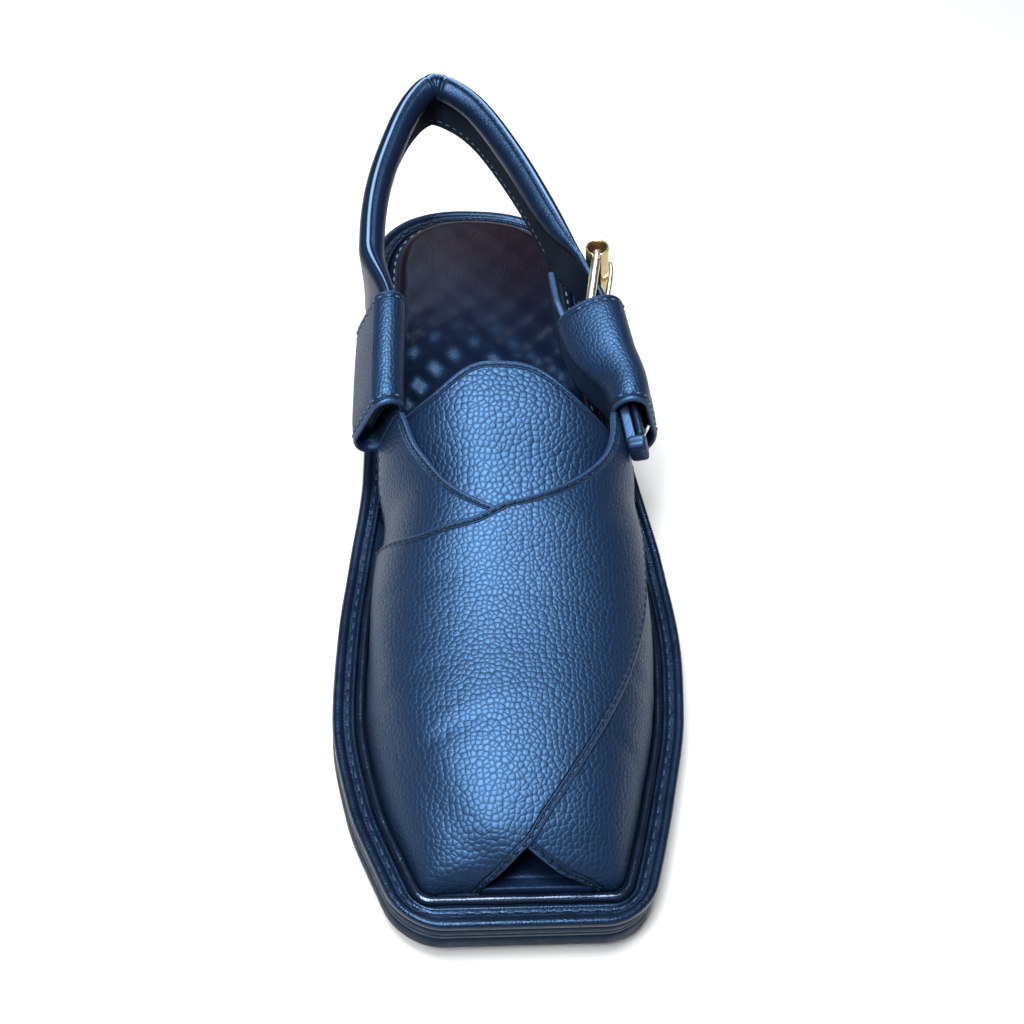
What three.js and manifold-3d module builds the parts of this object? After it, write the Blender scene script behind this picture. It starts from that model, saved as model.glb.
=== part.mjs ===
// A man's left crossed-strap chappal: layered sole with a stitched welt, two broad leather
// straps crossing over a tongue, and a padded heel strap that runs through a sleeve on each
// side and fastens with a roller buckle on the outer side.
// Millimetres. +Z up, the toe towards -Y, the outer (little toe) side towards +X.
import * as THREE from 'three';
import { mergeVertices } from 'three/addons/utils/BufferGeometryUtils.js';
import Module from 'manifold-3d';

const wasm = await Module();
wasm.setup();

// Clearances
const GAP = 0.3; // between pieces that touch in the real thing
const CURVED_GAP = 0.5; // the same beside the straps' curved feet

// Sole
const LENGTH = 300; // toe to heel
const BALL_WIDTH = 112.5; // widest across the ball
const TOE_RADIUS = 12; // corners of the square toe
const TOE_INNER_RADIUS = 2.6; // the same corners on the layers inside the rim
const HEEL_RADIUS = 41; // depth of the round heel end
const HEEL_SQUARE = 2.4; // how square the heel arc is, 2 being a true circle
const TOE_SPRING = 5; // how far the toe lifts off the floor
const HEEL_LIFT = 12.5; // how far the sole stands over the floor at the heel
const OUTSOLE = 5.5; // outsole thickness
const MIDSOLE = 5.5; // midsole thickness at its edge
const WELT = 3.1; // welt thickness at its rim
const WELT_WIDTH = 6.9; // rim and stitched channel together
const SEAT_DROP = 2.2; // the seat of upper and footbed, below the welt's rim
const RAND_RADIUS = 1.35; // glossy bead between welt and upper
const FOOTBED = 3; // footbed thickness
const FOOTBED_ROUND = 2.4; // how far its top edge is drawn in
const HEEL_PAD = 3.4; // thickness of the stuffed pad on the footbed
const PAD_MARGIN = 1.9; // stitched border between the welt and the pad
const PAD_FRONT = 0.565; // front edge of the pad, as a share of the length
const PAD_CORNER = 12;
const HEEL_BREAST = 0.7; // front face of the heel block, as a share of the length
const HEEL_CORNER = 3;
const HEEL_TAPER = 1.4; // how far the heel block draws in towards the floor
const HEEL_CHAMFER = 1;
const PLATEAU_DRAFT = 0.1; // lean of the midsole's raised middle
const RAND_END = 0.462; // where the bead stops at the waist, as a share of the length
const BED_WIDENS = { from: 0.475, to: 0.5 }; // where the footbed reaches out to the welt

// Upper
const STRAP_WALL = 2.2; // lined leather of the two broad straps
const TONGUE_WALL = 1.8;
const TONGUE_GAP = 0.9; // between the tongue and the straps over it
const INSTEP = 60; // height of the last over its seat at the tongue
const SLEEVE_WALL = 1.9;
const SLEEVE_SINK = 0.1; // how far the sleeves are pressed into the straps
const STRAP_SINK = 0.7; // how far the upper strap is pressed into the lower one
const RIDGE_SHIFT = -2; // the last's ridge lies this far to the inner side

// Heel strap
const HEEL_STRAP_WIDTH = 21.5;
const HEEL_STRAP_WALL = 2.4;
const ROLL_RADIUS = 4.3; // padded roll along the top edge
const STRAP_LEAN = 3; // how far the lower edge leans in
const STRAP_TOP = 98.2; // top edge at the back, over the floor
const STRAP_REAR = 0.969; // the same place, as a share of the length
const STRAP_SLOPE = 0.277; // fall of the top edge for each millimetre forward
const BILLET_WIDTH = 14.5; // the strap's narrow end
const STRAP_END = 0.497; // both strap ends, past the sleeve's front mouth
const PRESSED_WIDTH = 0.73; // the strap inside the inner sleeve, as shares of its free width
const PRESSED_ROLL = 0.6;
const INNER_PLAY = 2.7; // room in the inner sleeve beside the roll

// Buckle
const WIRE = 3.2; // frame wire diameter
const BUCKLE_PLAY = 1.9; // between the strap and the two side wires
const BUCKLE_WIDTH = BILLET_WIDTH + WIRE + BUCKLE_PLAY; // between the middles of the side wires
const BUCKLE_CORNER = 2.4;
const ROLLER_OUTER = 7.4;
const ROLLER_WALL = 0.6;
const ROLLER_PLAY = 1.4; // between the roller and the frame's bends
const ROLLER_LENGTH = BUCKLE_WIDTH - 2 * BUCKLE_CORNER - ROLLER_PLAY;
const ROLLER_SHARE = 0.22; // how far along the strap's last free stretch the roller lies
const PRONG = 2.2; // prong diameter
const PRONG_LIFT = 1.4; // how far its middle arches outwards
const PRONG_REST = 3.1; // straight stretch on each side of the roller
const HINGE_AT = 0.638; // hinge bar, as a share of the length
const CHAPE = 1.5; // thickness of the short strap that holds the buckle
const CHAPE_PLAY = 0.8; // beside it, on the hinge bar and over the sleeve's inner wall
const CHAPE_WIDTH = BUCKLE_WIDTH - 2 * BUCKLE_CORNER - CHAPE_PLAY;
const CHAPE_PAST = 3; // how far it stands out past the strap's end
const FOLD_BEND = 18; // length over which the short strap settles from the bar to the sleeve
const TAB = 1.6; // guard tab thickness
const TAB_HEIGHT = 17.5;
const TAB_TOP = 8.2; // its top edge over the sleeve's middle
const TAB_PLAY = 0.9; // between the tab and the sleeve's inner wall
const TAB_FRONT = 0.6;
const TAB_REAR = 0.712;
const RING_RADIUS = 3.2; // small ring at the strap's end
const RING_WIRE = 1.3;

// Places off the last in the outer sleeve, from its inner wall outwards
const SLEEVE_FLOOR = SLEEVE_WALL - SLEEVE_SINK;
const FOLD_RADIUS = WIRE / 2 + GAP + CHAPE;
const HINGE_OFF = SLEEVE_FLOOR + CHAPE_PLAY + FOLD_RADIUS;
const CHAPE_OFF = SLEEVE_FLOOR + CHAPE_PLAY + CHAPE;
const BILLET_FRONT_OFF = CHAPE_OFF + CHAPE + HEEL_STRAP_WALL + 2 * GAP;
const BILLET_REAR_OFF = HINGE_OFF + FOLD_RADIUS + HEEL_STRAP_WALL + PRONG;
const SLEEVE_ROOM = 2.6; // between the strap's end and the sleeve's outer wall
const SLEEVE_RISE = 1.4; // over and under the buckle

// Sizes of the two sleeves
const INNER_THICK = 2 * (SLEEVE_WALL + PRESSED_ROLL * ROLL_RADIUS) + INNER_PLAY - 2 * SLEEVE_SINK;
const INNER_HEIGHT = HEEL_STRAP_WIDTH + 2.5;
const OUTER_THICK = BILLET_REAR_OFF + SLEEVE_WALL + SLEEVE_ROOM;
const OUTER_HEIGHT = BUCKLE_WIDTH + WIRE + 2 * SLEEVE_WALL + SLEEVE_RISE;

const LEATHER = { color: 0x14233f, roughness: 0.5, metalness: 0 };
const GLOSSY = { color: 0x0c1526, roughness: 0.3, metalness: 0 };
const RUBBER = { color: 0x0e1828, roughness: 0.55, metalness: 0 };
const BRASS = { color: 0xc9b07a, roughness: 0.3, metalness: 1 };

// Half widths of the sole's top rim to the inner and outer side, as shares of the ball width,
// at shares of the length counted from the toe
const OUTLINE = [
  { at: 0.0, inner: 0.316, outer: 0.3 },
  { at: 0.06, inner: 0.379, outer: 0.358 },
  { at: 0.14, inner: 0.451, outer: 0.423 },
  { at: 0.24, inner: 0.489, outer: 0.488 },
  { at: 0.34, inner: 0.475, outer: 0.511 },
  { at: 0.44, inner: 0.441, outer: 0.496 },
  { at: 0.55, inner: 0.4, outer: 0.45 },
  { at: 0.68, inner: 0.389, outer: 0.396 },
  { at: 0.8, inner: 0.379, outer: 0.373 },
  { at: 0.9, inner: 0.368, outer: 0.366 },
  { at: 1.0, inner: 0.364, outer: 0.364 },
];

// Underside of the sole: shares of the toe spring and of the heel lift
const PROFILE = [
  { at: 0.0, toe: 1, heel: 0 },
  { at: 0.06, toe: 0.62, heel: 0 },
  { at: 0.12, toe: 0.3, heel: 0 },
  { at: 0.19, toe: 0.05, heel: 0 },
  { at: 0.23, toe: 0, heel: 0 },
  { at: 0.4, toe: 0, heel: 0 },
  { at: 0.47, toe: 0, heel: 0.12 },
  { at: 0.55, toe: 0, heel: 0.42 },
  { at: 0.64, toe: 0, heel: 0.75 },
  { at: 0.72, toe: 0, heel: 0.94 },
  { at: 0.8, toe: 0, heel: 1 },
  { at: 1.0, toe: 0, heel: 1 },
];

// Sections of the sole's edges, from the foot up: how far in, and how high, as shares of the
// layer's own thickness, and for the welt of its width and thickness
const OUTSOLE_EDGE = [
  { inset: 0.25, up: 0 }, { inset: 0.07, up: 0.25 }, { inset: 0.04, up: 0.6 }, { inset: 0.16, up: 1 },
];
const MIDSOLE_EDGE = [
  { inset: 0.25, up: 0 }, { inset: 0.05, up: 0.3 }, { inset: 0.05, up: 0.7 }, { inset: 0.22, up: 1 },
];
const PAD_EDGE = [
  { inset: 0, up: 0 }, { inset: 0, up: 0.3 }, { inset: 0.35, up: 0.75 }, { inset: 1, up: 1 },
];
const WELT_SECTION = [
  { inset: 0.1, up: 0 }, { inset: 0, up: 0.4 }, { inset: 0.03, up: 0.75 }, { inset: 0.19, up: 1 },
  { inset: 0.38, up: 0.94 }, { inset: 0.49, up: 0.65 }, { inset: 0.78, up: 0.65 },
  { inset: 0.88, up: 0.84 }, { inset: 1, up: 0.71 }, { inset: 1, up: 0 },
];

// The last over its seat: ridge height as a share of the instep height, the fullness of each
// side (2 is an ellipse, more is squarer) and how far each side stands off the sole's line,
// as a share of the ball width
const LAST = [
  { at: 0.0412, height: 0.005, inner: 2.2, outer: 2.2, splayIn: 0, splayOut: 0 },
  { at: 0.045, height: 0.1, inner: 2.2, outer: 2.2, splayIn: 0, splayOut: 0 },
  { at: 0.0517, height: 0.175, inner: 2.2, outer: 2.2, splayIn: 0, splayOut: 0 },
  { at: 0.0633, height: 0.233, inner: 2.2, outer: 2.2, splayIn: 0, splayOut: 0 },
  { at: 0.083, height: 0.305, inner: 2.2, outer: 2.2, splayIn: 0, splayOut: 0 },
  { at: 0.133, height: 0.407, inner: 2.2, outer: 2.2, splayIn: 0, splayOut: 0 },
  { at: 0.2, height: 0.493, inner: 2.2, outer: 2.3, splayIn: 0, splayOut: 0 },
  { at: 0.267, height: 0.545, inner: 2.2, outer: 2.4, splayIn: 0, splayOut: 0 },
  { at: 0.333, height: 0.628, inner: 2.2, outer: 2.5, splayIn: 0, splayOut: 0 },
  { at: 0.383, height: 0.728, inner: 2.25, outer: 2.6, splayIn: 0, splayOut: 0 },
  { at: 0.443, height: 0.835, inner: 2.3, outer: 2.8, splayIn: 0, splayOut: 0 },
  { at: 0.5, height: 0.95, inner: 2.6, outer: 3.0, splayIn: 0.045, splayOut: 0.018 },
  { at: 0.55, height: 0.987, inner: 2.8, outer: 3.0, splayIn: 0.068, splayOut: 0.018 },
  { at: 0.6, height: 1.035, inner: 2.8, outer: 3.0, splayIn: 0.07, splayOut: -0.018 },
  { at: 0.67, height: 1.1, inner: 2.8, outer: 3.0, splayIn: 0.066, splayOut: -0.058 },
];

// Each broad strap lies on the last. Its places are given by girth, from -1 at the sole on the
// inner side over 0 at the ridge to 1 at the sole on the outer side, and by the share of the
// length. front: the free edge from the toe tip to the sleeve. base: the edge held in the sole.
// rear: from the sleeve, across its end and along the free rear edge, to the waist.
const OVER_STRAP = {
  front: [
    { t: 0, girth: -0.31, at: 0.0413 }, { t: 0.06, girth: -0.12, at: 0.048 },
    { t: 0.12, girth: 0.024, at: 0.0643 }, { t: 0.2, girth: 0.144, at: 0.0913 },
    { t: 0.32, girth: 0.302, at: 0.138 }, { t: 0.43, girth: 0.428, at: 0.189 },
    { t: 0.55, girth: 0.551, at: 0.25 }, { t: 0.67, girth: 0.65, at: 0.31 },
    { t: 0.77, girth: 0.7, at: 0.357 }, { t: 0.86, girth: 0.735, at: 0.407 },
    { t: 0.93, girth: 0.775, at: 0.463 }, { t: 1, girth: 0.81, at: 0.53 },
  ],
  base: [
    { t: 0, girth: -1, at: 0.0413 }, { t: 0.1, girth: -1, at: 0.063 },
    { t: 0.2, girth: -1, at: 0.107 }, { t: 0.35, girth: -1, at: 0.18 },
    { t: 0.5, girth: -1, at: 0.253 }, { t: 0.65, girth: -1, at: 0.32 },
    { t: 0.8, girth: -1, at: 0.38 }, { t: 1, girth: -1, at: 0.443 },
  ],
  rear: [
    { t: 0, girth: 0.81, at: 0.53 }, { t: 0.15, girth: 0.575, at: 0.53 },
    { t: 0.24, girth: 0.42, at: 0.47 }, { t: 0.34, girth: 0.21, at: 0.429 },
    { t: 0.46, girth: 0.0, at: 0.402 }, { t: 0.58, girth: -0.17, at: 0.387 },
    { t: 0.72, girth: -0.4, at: 0.385 }, { t: 0.86, girth: -0.68, at: 0.405 },
    { t: 1, girth: -1, at: 0.443 },
  ],
};
const UNDER_STRAP = {
  front: [
    { t: 0, girth: 0.63, at: 0.0413 }, { t: 0.06, girth: 0.214, at: 0.048 },
    { t: 0.12, girth: 0.024, at: 0.0617 }, { t: 0.2, girth: -0.12, at: 0.0933 },
    { t: 0.32, girth: -0.28, at: 0.138 }, { t: 0.43, girth: -0.41, at: 0.19 },
    { t: 0.55, girth: -0.53, at: 0.25 }, { t: 0.67, girth: -0.66, at: 0.31 },
    { t: 0.77, girth: -0.78, at: 0.367 }, { t: 0.86, girth: -0.88, at: 0.42 },
    { t: 0.93, girth: -0.87, at: 0.475 }, { t: 1, girth: -0.8, at: 0.53 },
  ],
  base: [
    { t: 0, girth: 1, at: 0.0413 }, { t: 0.1, girth: 1, at: 0.063 },
    { t: 0.2, girth: 1, at: 0.107 }, { t: 0.35, girth: 1, at: 0.18 },
    { t: 0.5, girth: 1, at: 0.253 }, { t: 0.65, girth: 1, at: 0.32 },
    { t: 0.8, girth: 1, at: 0.38 }, { t: 1, girth: 1, at: 0.443 },
  ],
  rear: [
    { t: 0, girth: -0.8, at: 0.53 }, { t: 0.15, girth: -0.56, at: 0.53 },
    { t: 0.24, girth: -0.46, at: 0.48 }, { t: 0.34, girth: -0.29, at: 0.432 },
    { t: 0.46, girth: -0.06, at: 0.4 }, { t: 0.58, girth: 0.12, at: 0.386 },
    { t: 0.72, girth: 0.37, at: 0.38 }, { t: 0.86, girth: 0.67, at: 0.403 },
    { t: 1, girth: 1, at: 0.443 },
  ],
};
const LIFT_GIRTH = 0.12; // run, in girth, over which the upper strap climbs the lower one
const LIFT_AT = 0.03; // the same along the foot, behind the lower strap

// Tongue: half its width in girth, its front edge, and its top edge, which falls away from a
// rounded peak of the given half width
const TONGUE = { girth: 0.6, front: 0.3, top: 0.55, fall: 0.038, peak: 0.25, skew: 0.02 };

// Sleeves: middle of the sleeve in girth, and shares of its height and thickness
const INNER_SLEEVE = [
  { at: 0.524, girth: -0.645, height: 1, thick: 1.02 },
  { at: 0.59, girth: -0.635, height: 1, thick: 1 },
  { at: 0.652, girth: -0.625, height: 0.98, thick: 0.98 },
];
const OUTER_SLEEVE = [
  { at: 0.524, girth: 0.672, height: 0.893, thick: 0.703 },
  { at: 0.59, girth: 0.685, height: 0.946, thick: 0.85 },
  { at: 0.65, girth: 0.695, height: 1, thick: 1 },
];
const INNER = { rows: INNER_SLEEVE, height: INNER_HEIGHT, thick: INNER_THICK };
const OUTER = { rows: OUTER_SLEEVE, height: OUTER_HEIGHT, thick: OUTER_THICK };

// Plan of the heel strap's top outer edge, from the inner side round the heel to the outer
// side: share of the length, and distance from the axis as a share of the ball width
const HEEL_STRAP = [
  { at: 0.7, across: -0.418, roll: 1 }, { at: 0.753, across: -0.42, roll: 1 },
  { at: 0.81, across: -0.402, roll: 1 }, { at: 0.869, across: -0.358, roll: 1 },
  { at: 0.926, across: -0.297, roll: 1 }, { at: 0.959, across: -0.232, roll: 1 },
  { at: 0.969, across: -0.176, roll: 1 }, { at: 0.957, across: -0.09, roll: 1 },
  { at: 0.93, across: -0.008, roll: 1 }, { at: 0.871, across: 0.093, roll: 1 },
  { at: 0.813, across: 0.17, roll: 1 }, { at: 0.77, across: 0.217, roll: 0.85 },
  { at: 0.73, across: 0.25, roll: 0.35 },
];

const V = (x, y, z) => new THREE.Vector3(x, y, z);
const lerp = THREE.MathUtils.lerp;
const smooth = (t) => THREE.MathUtils.smoothstep(t, 0, 1);

// Smooth interpolation in a table of rows sorted by key, without overshoot
function read(rows, key, column, value) {
  const last = rows.length - 1;
  const x = THREE.MathUtils.clamp(value, rows[0][key], rows[last][key]);
  let i = rows.findIndex((row, k) => k < last && x <= rows[k + 1][key]);
  i = Math.max(i, 0);
  const slope = (k) => (rows[k + 1][column] - rows[k][column]) / (rows[k + 1][key] - rows[k][key]);
  const tangent = (k) => {
    if (k === 0) return slope(0);
    if (k === last) return slope(last - 1);
    const a = slope(k - 1);
    const b = slope(k);
    return a * b <= 0 ? 0 : (2 * a * b) / (a + b);
  };
  const h = rows[i + 1][key] - rows[i][key];
  const t = (x - rows[i][key]) / h;
  const t2 = t * t;
  const t3 = t2 * t;
  return (2 * t3 - 3 * t2 + 1) * rows[i][column] + (t3 - 2 * t2 + t) * h * tangent(i)
    + (3 * t2 - 2 * t3) * rows[i + 1][column] + (t3 - t2) * h * tangent(i + 1);
}

// Heights of the sole's layers over its underside
const STACK = {
  outsoleTop: OUTSOLE,
  midsoleFoot: OUTSOLE + GAP,
  midsoleTop: OUTSOLE + GAP + MIDSOLE,
  weltFoot: OUTSOLE + 2 * GAP + MIDSOLE,
  rim: OUTSOLE + 2 * GAP + MIDSOLE + WELT,
};
STACK.plateau = STACK.rim - SEAT_DROP;
STACK.seat = STACK.plateau + GAP;
STACK.footbedTop = STACK.seat + FOOTBED;
STACK.padFoot = STACK.footbedTop + GAP;

// Insets from the sole's rim
const RAND_MIDDLE = WELT_WIDTH + GAP + RAND_RADIUS;
const UPPER_OUTER = RAND_MIDDLE + RAND_RADIUS + CURVED_GAP;
const UPPER_INNER = UPPER_OUTER + STRAP_WALL;
const FOOTBED_INSET = UPPER_INNER + CURVED_GAP;

const along = (at) => (at - 0.5) * LENGTH;
const share = (y) => y / LENGTH + 0.5;

const floor = () => 0;

// Height of the sole's underside over the floor
function underside(y) {
  const at = share(y);
  return TOE_SPRING * read(PROFILE, 'at', 'toe', at) + HEEL_LIFT * read(PROFILE, 'at', 'heel', at);
}

const halfWidth = (side, y) => BALL_WIDTH * read(OUTLINE, 'at', side < 0 ? 'inner' : 'outer', share(y));

// Half width of the outline drawn in by an inset, square toe corners included
function drawnIn(side, y, inset) {
  const corner = Math.max(TOE_INNER_RADIUS, TOE_RADIUS - inset);
  const front = THREE.MathUtils.clamp((along(0) + inset + corner - y) / corner, 0, 1);
  return halfWidth(side, y) - inset - corner * (1 - Math.sqrt(1 - front * front));
}

// A closed run of points round the sole at an inset: toe edge, inner side, heel, outer side
const CORNER_STEPS = 3;
const HEEL_STEPS = 7;
const TOE_STEPS = 4;
const WHOLE = { at: 0, corner: TOE_RADIUS, steps: 15 };
function sideRun(side, inset, from = WHOLE) {
  const points = [];
  const insetAt = typeof inset === 'function' ? inset : () => inset;
  const toeInset = insetAt(side, along(from.at));
  const corner = Math.max(TOE_INNER_RADIUS, from.corner - toeInset);
  const front = along(from.at) + toeInset;
  for (let i = 0; i < CORNER_STEPS; i += 1) {
    const turn = (i / CORNER_STEPS) * Math.PI / 2;
    const y = front + corner * (1 - Math.cos(turn));
    const x = halfWidth(side, y) - toeInset - corner * (1 - Math.sin(turn));
    points.push([side * x, y]);
  }
  const sideStart = front + corner;
  const heelStart = along(1) - HEEL_RADIUS;
  for (let i = 0; i < from.steps; i += 1) {
    const y = lerp(sideStart, heelStart, i / from.steps);
    points.push([side * (halfWidth(side, y) - insetAt(side, y)), y]);
  }
  for (let i = 0; i <= HEEL_STEPS; i += 1) {
    const turn = (i / HEEL_STEPS) * Math.PI / 2;
    const depth = HEEL_RADIUS - insetAt(side, along(1));
    const y = heelStart + depth * Math.sin(turn) ** (2 / HEEL_SQUARE);
    const width = halfWidth(side, y) - insetAt(side, y);
    points.push([side * width * Math.max(Math.cos(turn), 0) ** (2 / HEEL_SQUARE), y]);
  }
  return points;
}

function outlineLoop(inset, from) {
  const inner = sideRun(-1, inset, from);
  const outer = sideRun(1, inset, from);
  const toe = [];
  for (let i = 1; i < TOE_STEPS; i += 1) {
    toe.push([lerp(outer[0][0], inner[0][0], i / TOE_STEPS), inner[0][1]]);
  }
  return { inner, outer, loop: [...inner, ...outer.slice(0, -1).reverse(), ...toe] };
}

// Triangles over a grid of points, rows[i][j], either way closed on itself
function gridFaces(rows, closeRows, closeColumns, out) {
  const n = rows.length;
  const m = rows[0].length;
  for (let i = 0; i < (closeRows ? n : n - 1); i += 1) {
    for (let j = 0; j < (closeColumns ? m : m - 1); j += 1) {
      const a = rows[i][j];
      const b = rows[(i + 1) % n][j];
      const c = rows[(i + 1) % n][(j + 1) % m];
      const d = rows[i][(j + 1) % m];
      out.push(a, b, c, a, c, d);
    }
  }
}

// A closed geometry from loose triangles: vertices merged, empty triangles dropped and the
// faces turned outwards
function closed(points) {
  const raw = new THREE.BufferGeometry().setFromPoints(points);
  const merged = mergeVertices(raw, 1e-4);
  const index = [];
  const source = merged.index.array;
  for (let i = 0; i < source.length; i += 3) {
    const [a, b, c] = [source[i], source[i + 1], source[i + 2]];
    if (a !== b && b !== c && c !== a) index.push(a, b, c);
  }
  const place = merged.attributes.position;
  const corner = [V(0, 0, 0), V(0, 0, 0), V(0, 0, 0)];
  let volume = 0;
  for (let i = 0; i < index.length; i += 3) {
    corner.forEach((p, k) => p.fromBufferAttribute(place, index[i + k]));
    volume += corner[0].dot(corner[1].clone().cross(corner[2]));
  }
  if (volume < 0) {
    for (let i = 0; i < index.length; i += 3) {
      [index[i + 1], index[i + 2]] = [index[i + 2], index[i + 1]];
    }
  }
  merged.setIndex(index);
  merged.computeVertexNormals();
  return merged;
}

// A layer of the sole: a profile of insets and heights carried round the outline, closed
// above and below by rows that run across. A row's base is the surface it is measured from.
function layer(profile, from = WHOLE) {
  const faces = [];
  const levels = profile.map(({ inset, height, base = underside }) => {
    const { inner, outer, loop } = outlineLoop(inset, from);
    const raise = ([x, y]) => V(x, y, base(y) + height);
    const across = inner.map((p, i) => Array.from({ length: TOE_STEPS + 1 }, (unused, k) => {
      const t = k / TOE_STEPS;
      return raise([lerp(p[0], outer[i][0], t), lerp(p[1], outer[i][1], t)]);
    }));
    return { loop: loop.map(raise), across };
  });
  gridFaces(levels.map((one) => one.loop), false, true, faces);
  const cover = (across, turned) => {
    const flat = [];
    gridFaces(across, false, false, flat);
    for (let i = 0; i < flat.length; i += 3) {
      faces.push(flat[i], flat[turned ? i + 2 : i + 1], flat[turned ? i + 1 : i + 2]);
    }
  };
  cover(levels[0].across, false);
  cover(levels[levels.length - 1].across, true);
  return closed(faces);
}

// A strip carried from a closed profile of insets and heights: all the way round the sole, or
// from the waist on one side round the toe to the other
const stripSection = (profile, place) => profile.map(({ inset, height }) => {
  const [x, y] = place(inset);
  return V(x, y, underside(y) + height);
});
function roundStrip(profile) {
  const faces = [];
  const loops = profile.map(({ inset, height }) => outlineLoop(inset).loop
    .map((p) => V(p[0], p[1], underside(p[1]) + height)));
  gridFaces(loops, true, true, faces);
  return closed(faces);
}
function toeStrip(profile, end) {
  const count = sideRun(-1, profile[0].inset).filter((p) => p[1] < along(end)).length;
  const middle = Array.from({ length: TOE_STEPS - 1 }, (unused, k) => (k + 1) / TOE_STEPS);
  const back = Array.from({ length: count }, (unused, k) => k);
  const sections = [
    ...back.toReversed().map((k) => stripSection(profile, (inset) => sideRun(1, inset)[k])),
    ...middle.map((t) => stripSection(profile, (inset) => {
      const [right, left] = [sideRun(1, inset)[0], sideRun(-1, inset)[0]];
      return [lerp(right[0], left[0], t), left[1]];
    })),
    ...back.map((k) => stripSection(profile, (inset) => sideRun(-1, inset)[k])),
  ];
  return loft(sections, profile.map((row) => new THREE.Vector2(row.inset, row.height)));
}

// The last: half width at the seat, ridge height, and the point at a girth and a place
const lastFront = along(0) + UPPER_INNER;
function lastHalf(side, y) {
  const splay = BALL_WIDTH * read(LAST, 'at', side < 0 ? 'splayIn' : 'splayOut', share(y));
  return drawnIn(side, y, UPPER_INNER) + splay;
}
const lastHeight = (y) => INSTEP * read(LAST, 'at', 'height', share(y));
const fullness = (side, y) => read(LAST, 'at', side < 0 ? 'inner' : 'outer', share(y));
const seat = (y) => underside(y) + STACK.seat;

function lastPoint(girth, y) {
  const side = girth < 0 ? -1 : 1;
  const turn = Math.min(Math.abs(girth), 1) * Math.PI / 2;
  const power = 2 / fullness(side, y);
  const reach = lastHalf(side, y) - side * RIDGE_SHIFT;
  const x = RIDGE_SHIFT + side * reach * Math.sin(turn) ** power;
  const z = lastHeight(y) * Math.max(Math.cos(turn), 0) ** power;
  return V(x, y, seat(y) + z);
}

// Outward normal of the last, from the slope of (x / half width)^n + (z / height)^n = 1
function lastNormal(girth, y) {
  const side = girth < 0 ? -1 : 1;
  const p = lastPoint(girth, y);
  const level = (x, yy, z) => {
    const n = fullness(side, yy);
    const reach = Math.max(lastHalf(side, yy) - side * RIDGE_SHIFT, 0.5);
    const rise = Math.max(lastHeight(yy), 0.2);
    const away = Math.max(side * (x - RIDGE_SHIFT), 0) / reach;
    return away ** n + (Math.max(z - seat(yy), 0) / rise) ** n;
  };
  const h = 0.05;
  const yy = Math.max(y, lastFront + 2 * h);
  const slope = V(
    level(p.x + h, yy, p.z) - level(p.x - h, yy, p.z),
    level(p.x, yy + h, p.z) - level(p.x, yy - h, p.z),
    level(p.x, yy, p.z + h) - level(p.x, yy, Math.max(p.z - h, seat(yy))),
  );
  return slope.normalize();
}

const onLast = (girth, y, offset) => lastPoint(girth, y).addScaledVector(lastNormal(girth, y), offset);

// A sheet of leather between two grids of points
function sheet(outer, inner) {
  const faces = [];
  gridFaces(outer, false, false, faces);
  const under = [];
  gridFaces(inner, false, false, under);
  for (let i = 0; i < under.length; i += 3) faces.push(under[i], under[i + 2], under[i + 1]);
  const n = outer.length - 1;
  const m = outer[0].length - 1;
  const edge = (top, low) => gridFaces([top, low], false, false, faces);
  edge(inner[0], outer[0]);
  edge(outer[n], inner[n]);
  edge(outer.map((row) => row[0]), inner.map((row) => row[0]));
  edge(inner.map((row) => row[m]), outer.map((row) => row[m]));
  return closed(faces);
}

// Place inside a strap's outline at u across and v along, blended from its four edges
function strapPlace(strap, u, v) {
  const place = (edge, t, column) => read(strap[edge], 't', column, t);
  const tip = strap.front[0];
  const corner = strap.base[0];
  const end = strap.rear[0];
  const waist = strap.base[strap.base.length - 1];
  const blend = (column) => {
    const toe = lerp(tip[column], corner[column], u);
    const sides = lerp(place('front', v, column), place('base', v, column), u);
    const ends = lerp(toe, place('rear', u, column), v);
    return sides + ends - lerp(toe, lerp(end[column], waist[column], u), v);
  };
  return { girth: THREE.MathUtils.clamp(blend('girth'), -1, 1), y: along(blend('at')) };
}

function strapSheet(strap, columns, rows, lift) {
  const grid = (offset) => {
    const out = [];
    for (let i = 0; i <= rows; i += 1) {
      const row = [];
      for (let j = 0; j <= columns; j += 1) {
        const { girth, y } = strapPlace(strap, j / columns, i / rows);
        const base = lift(girth, share(y));
        row.push(onLast(girth, Math.max(y, lastFront), base + offset));
      }
      out.push(row);
    }
    return out;
  };
  return sheet(grid(STRAP_WALL), grid(0));
}

// How far the upper strap lies over the last: up on the lower strap where it covers it
const underRear = UNDER_STRAP.rear.slice(1).sort((a, b) => a.girth - b.girth);
function overLift(girth, at) {
  const edge = read(UNDER_STRAP.front, 'at', 'girth', at);
  const rear = read(underRear, 'girth', 'at', girth);
  const climb = smooth((girth - edge) / LIFT_GIRTH + 1) * smooth((rear - at) / LIFT_AT + 1);
  return (STRAP_WALL - STRAP_SINK) * climb;
}

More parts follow.
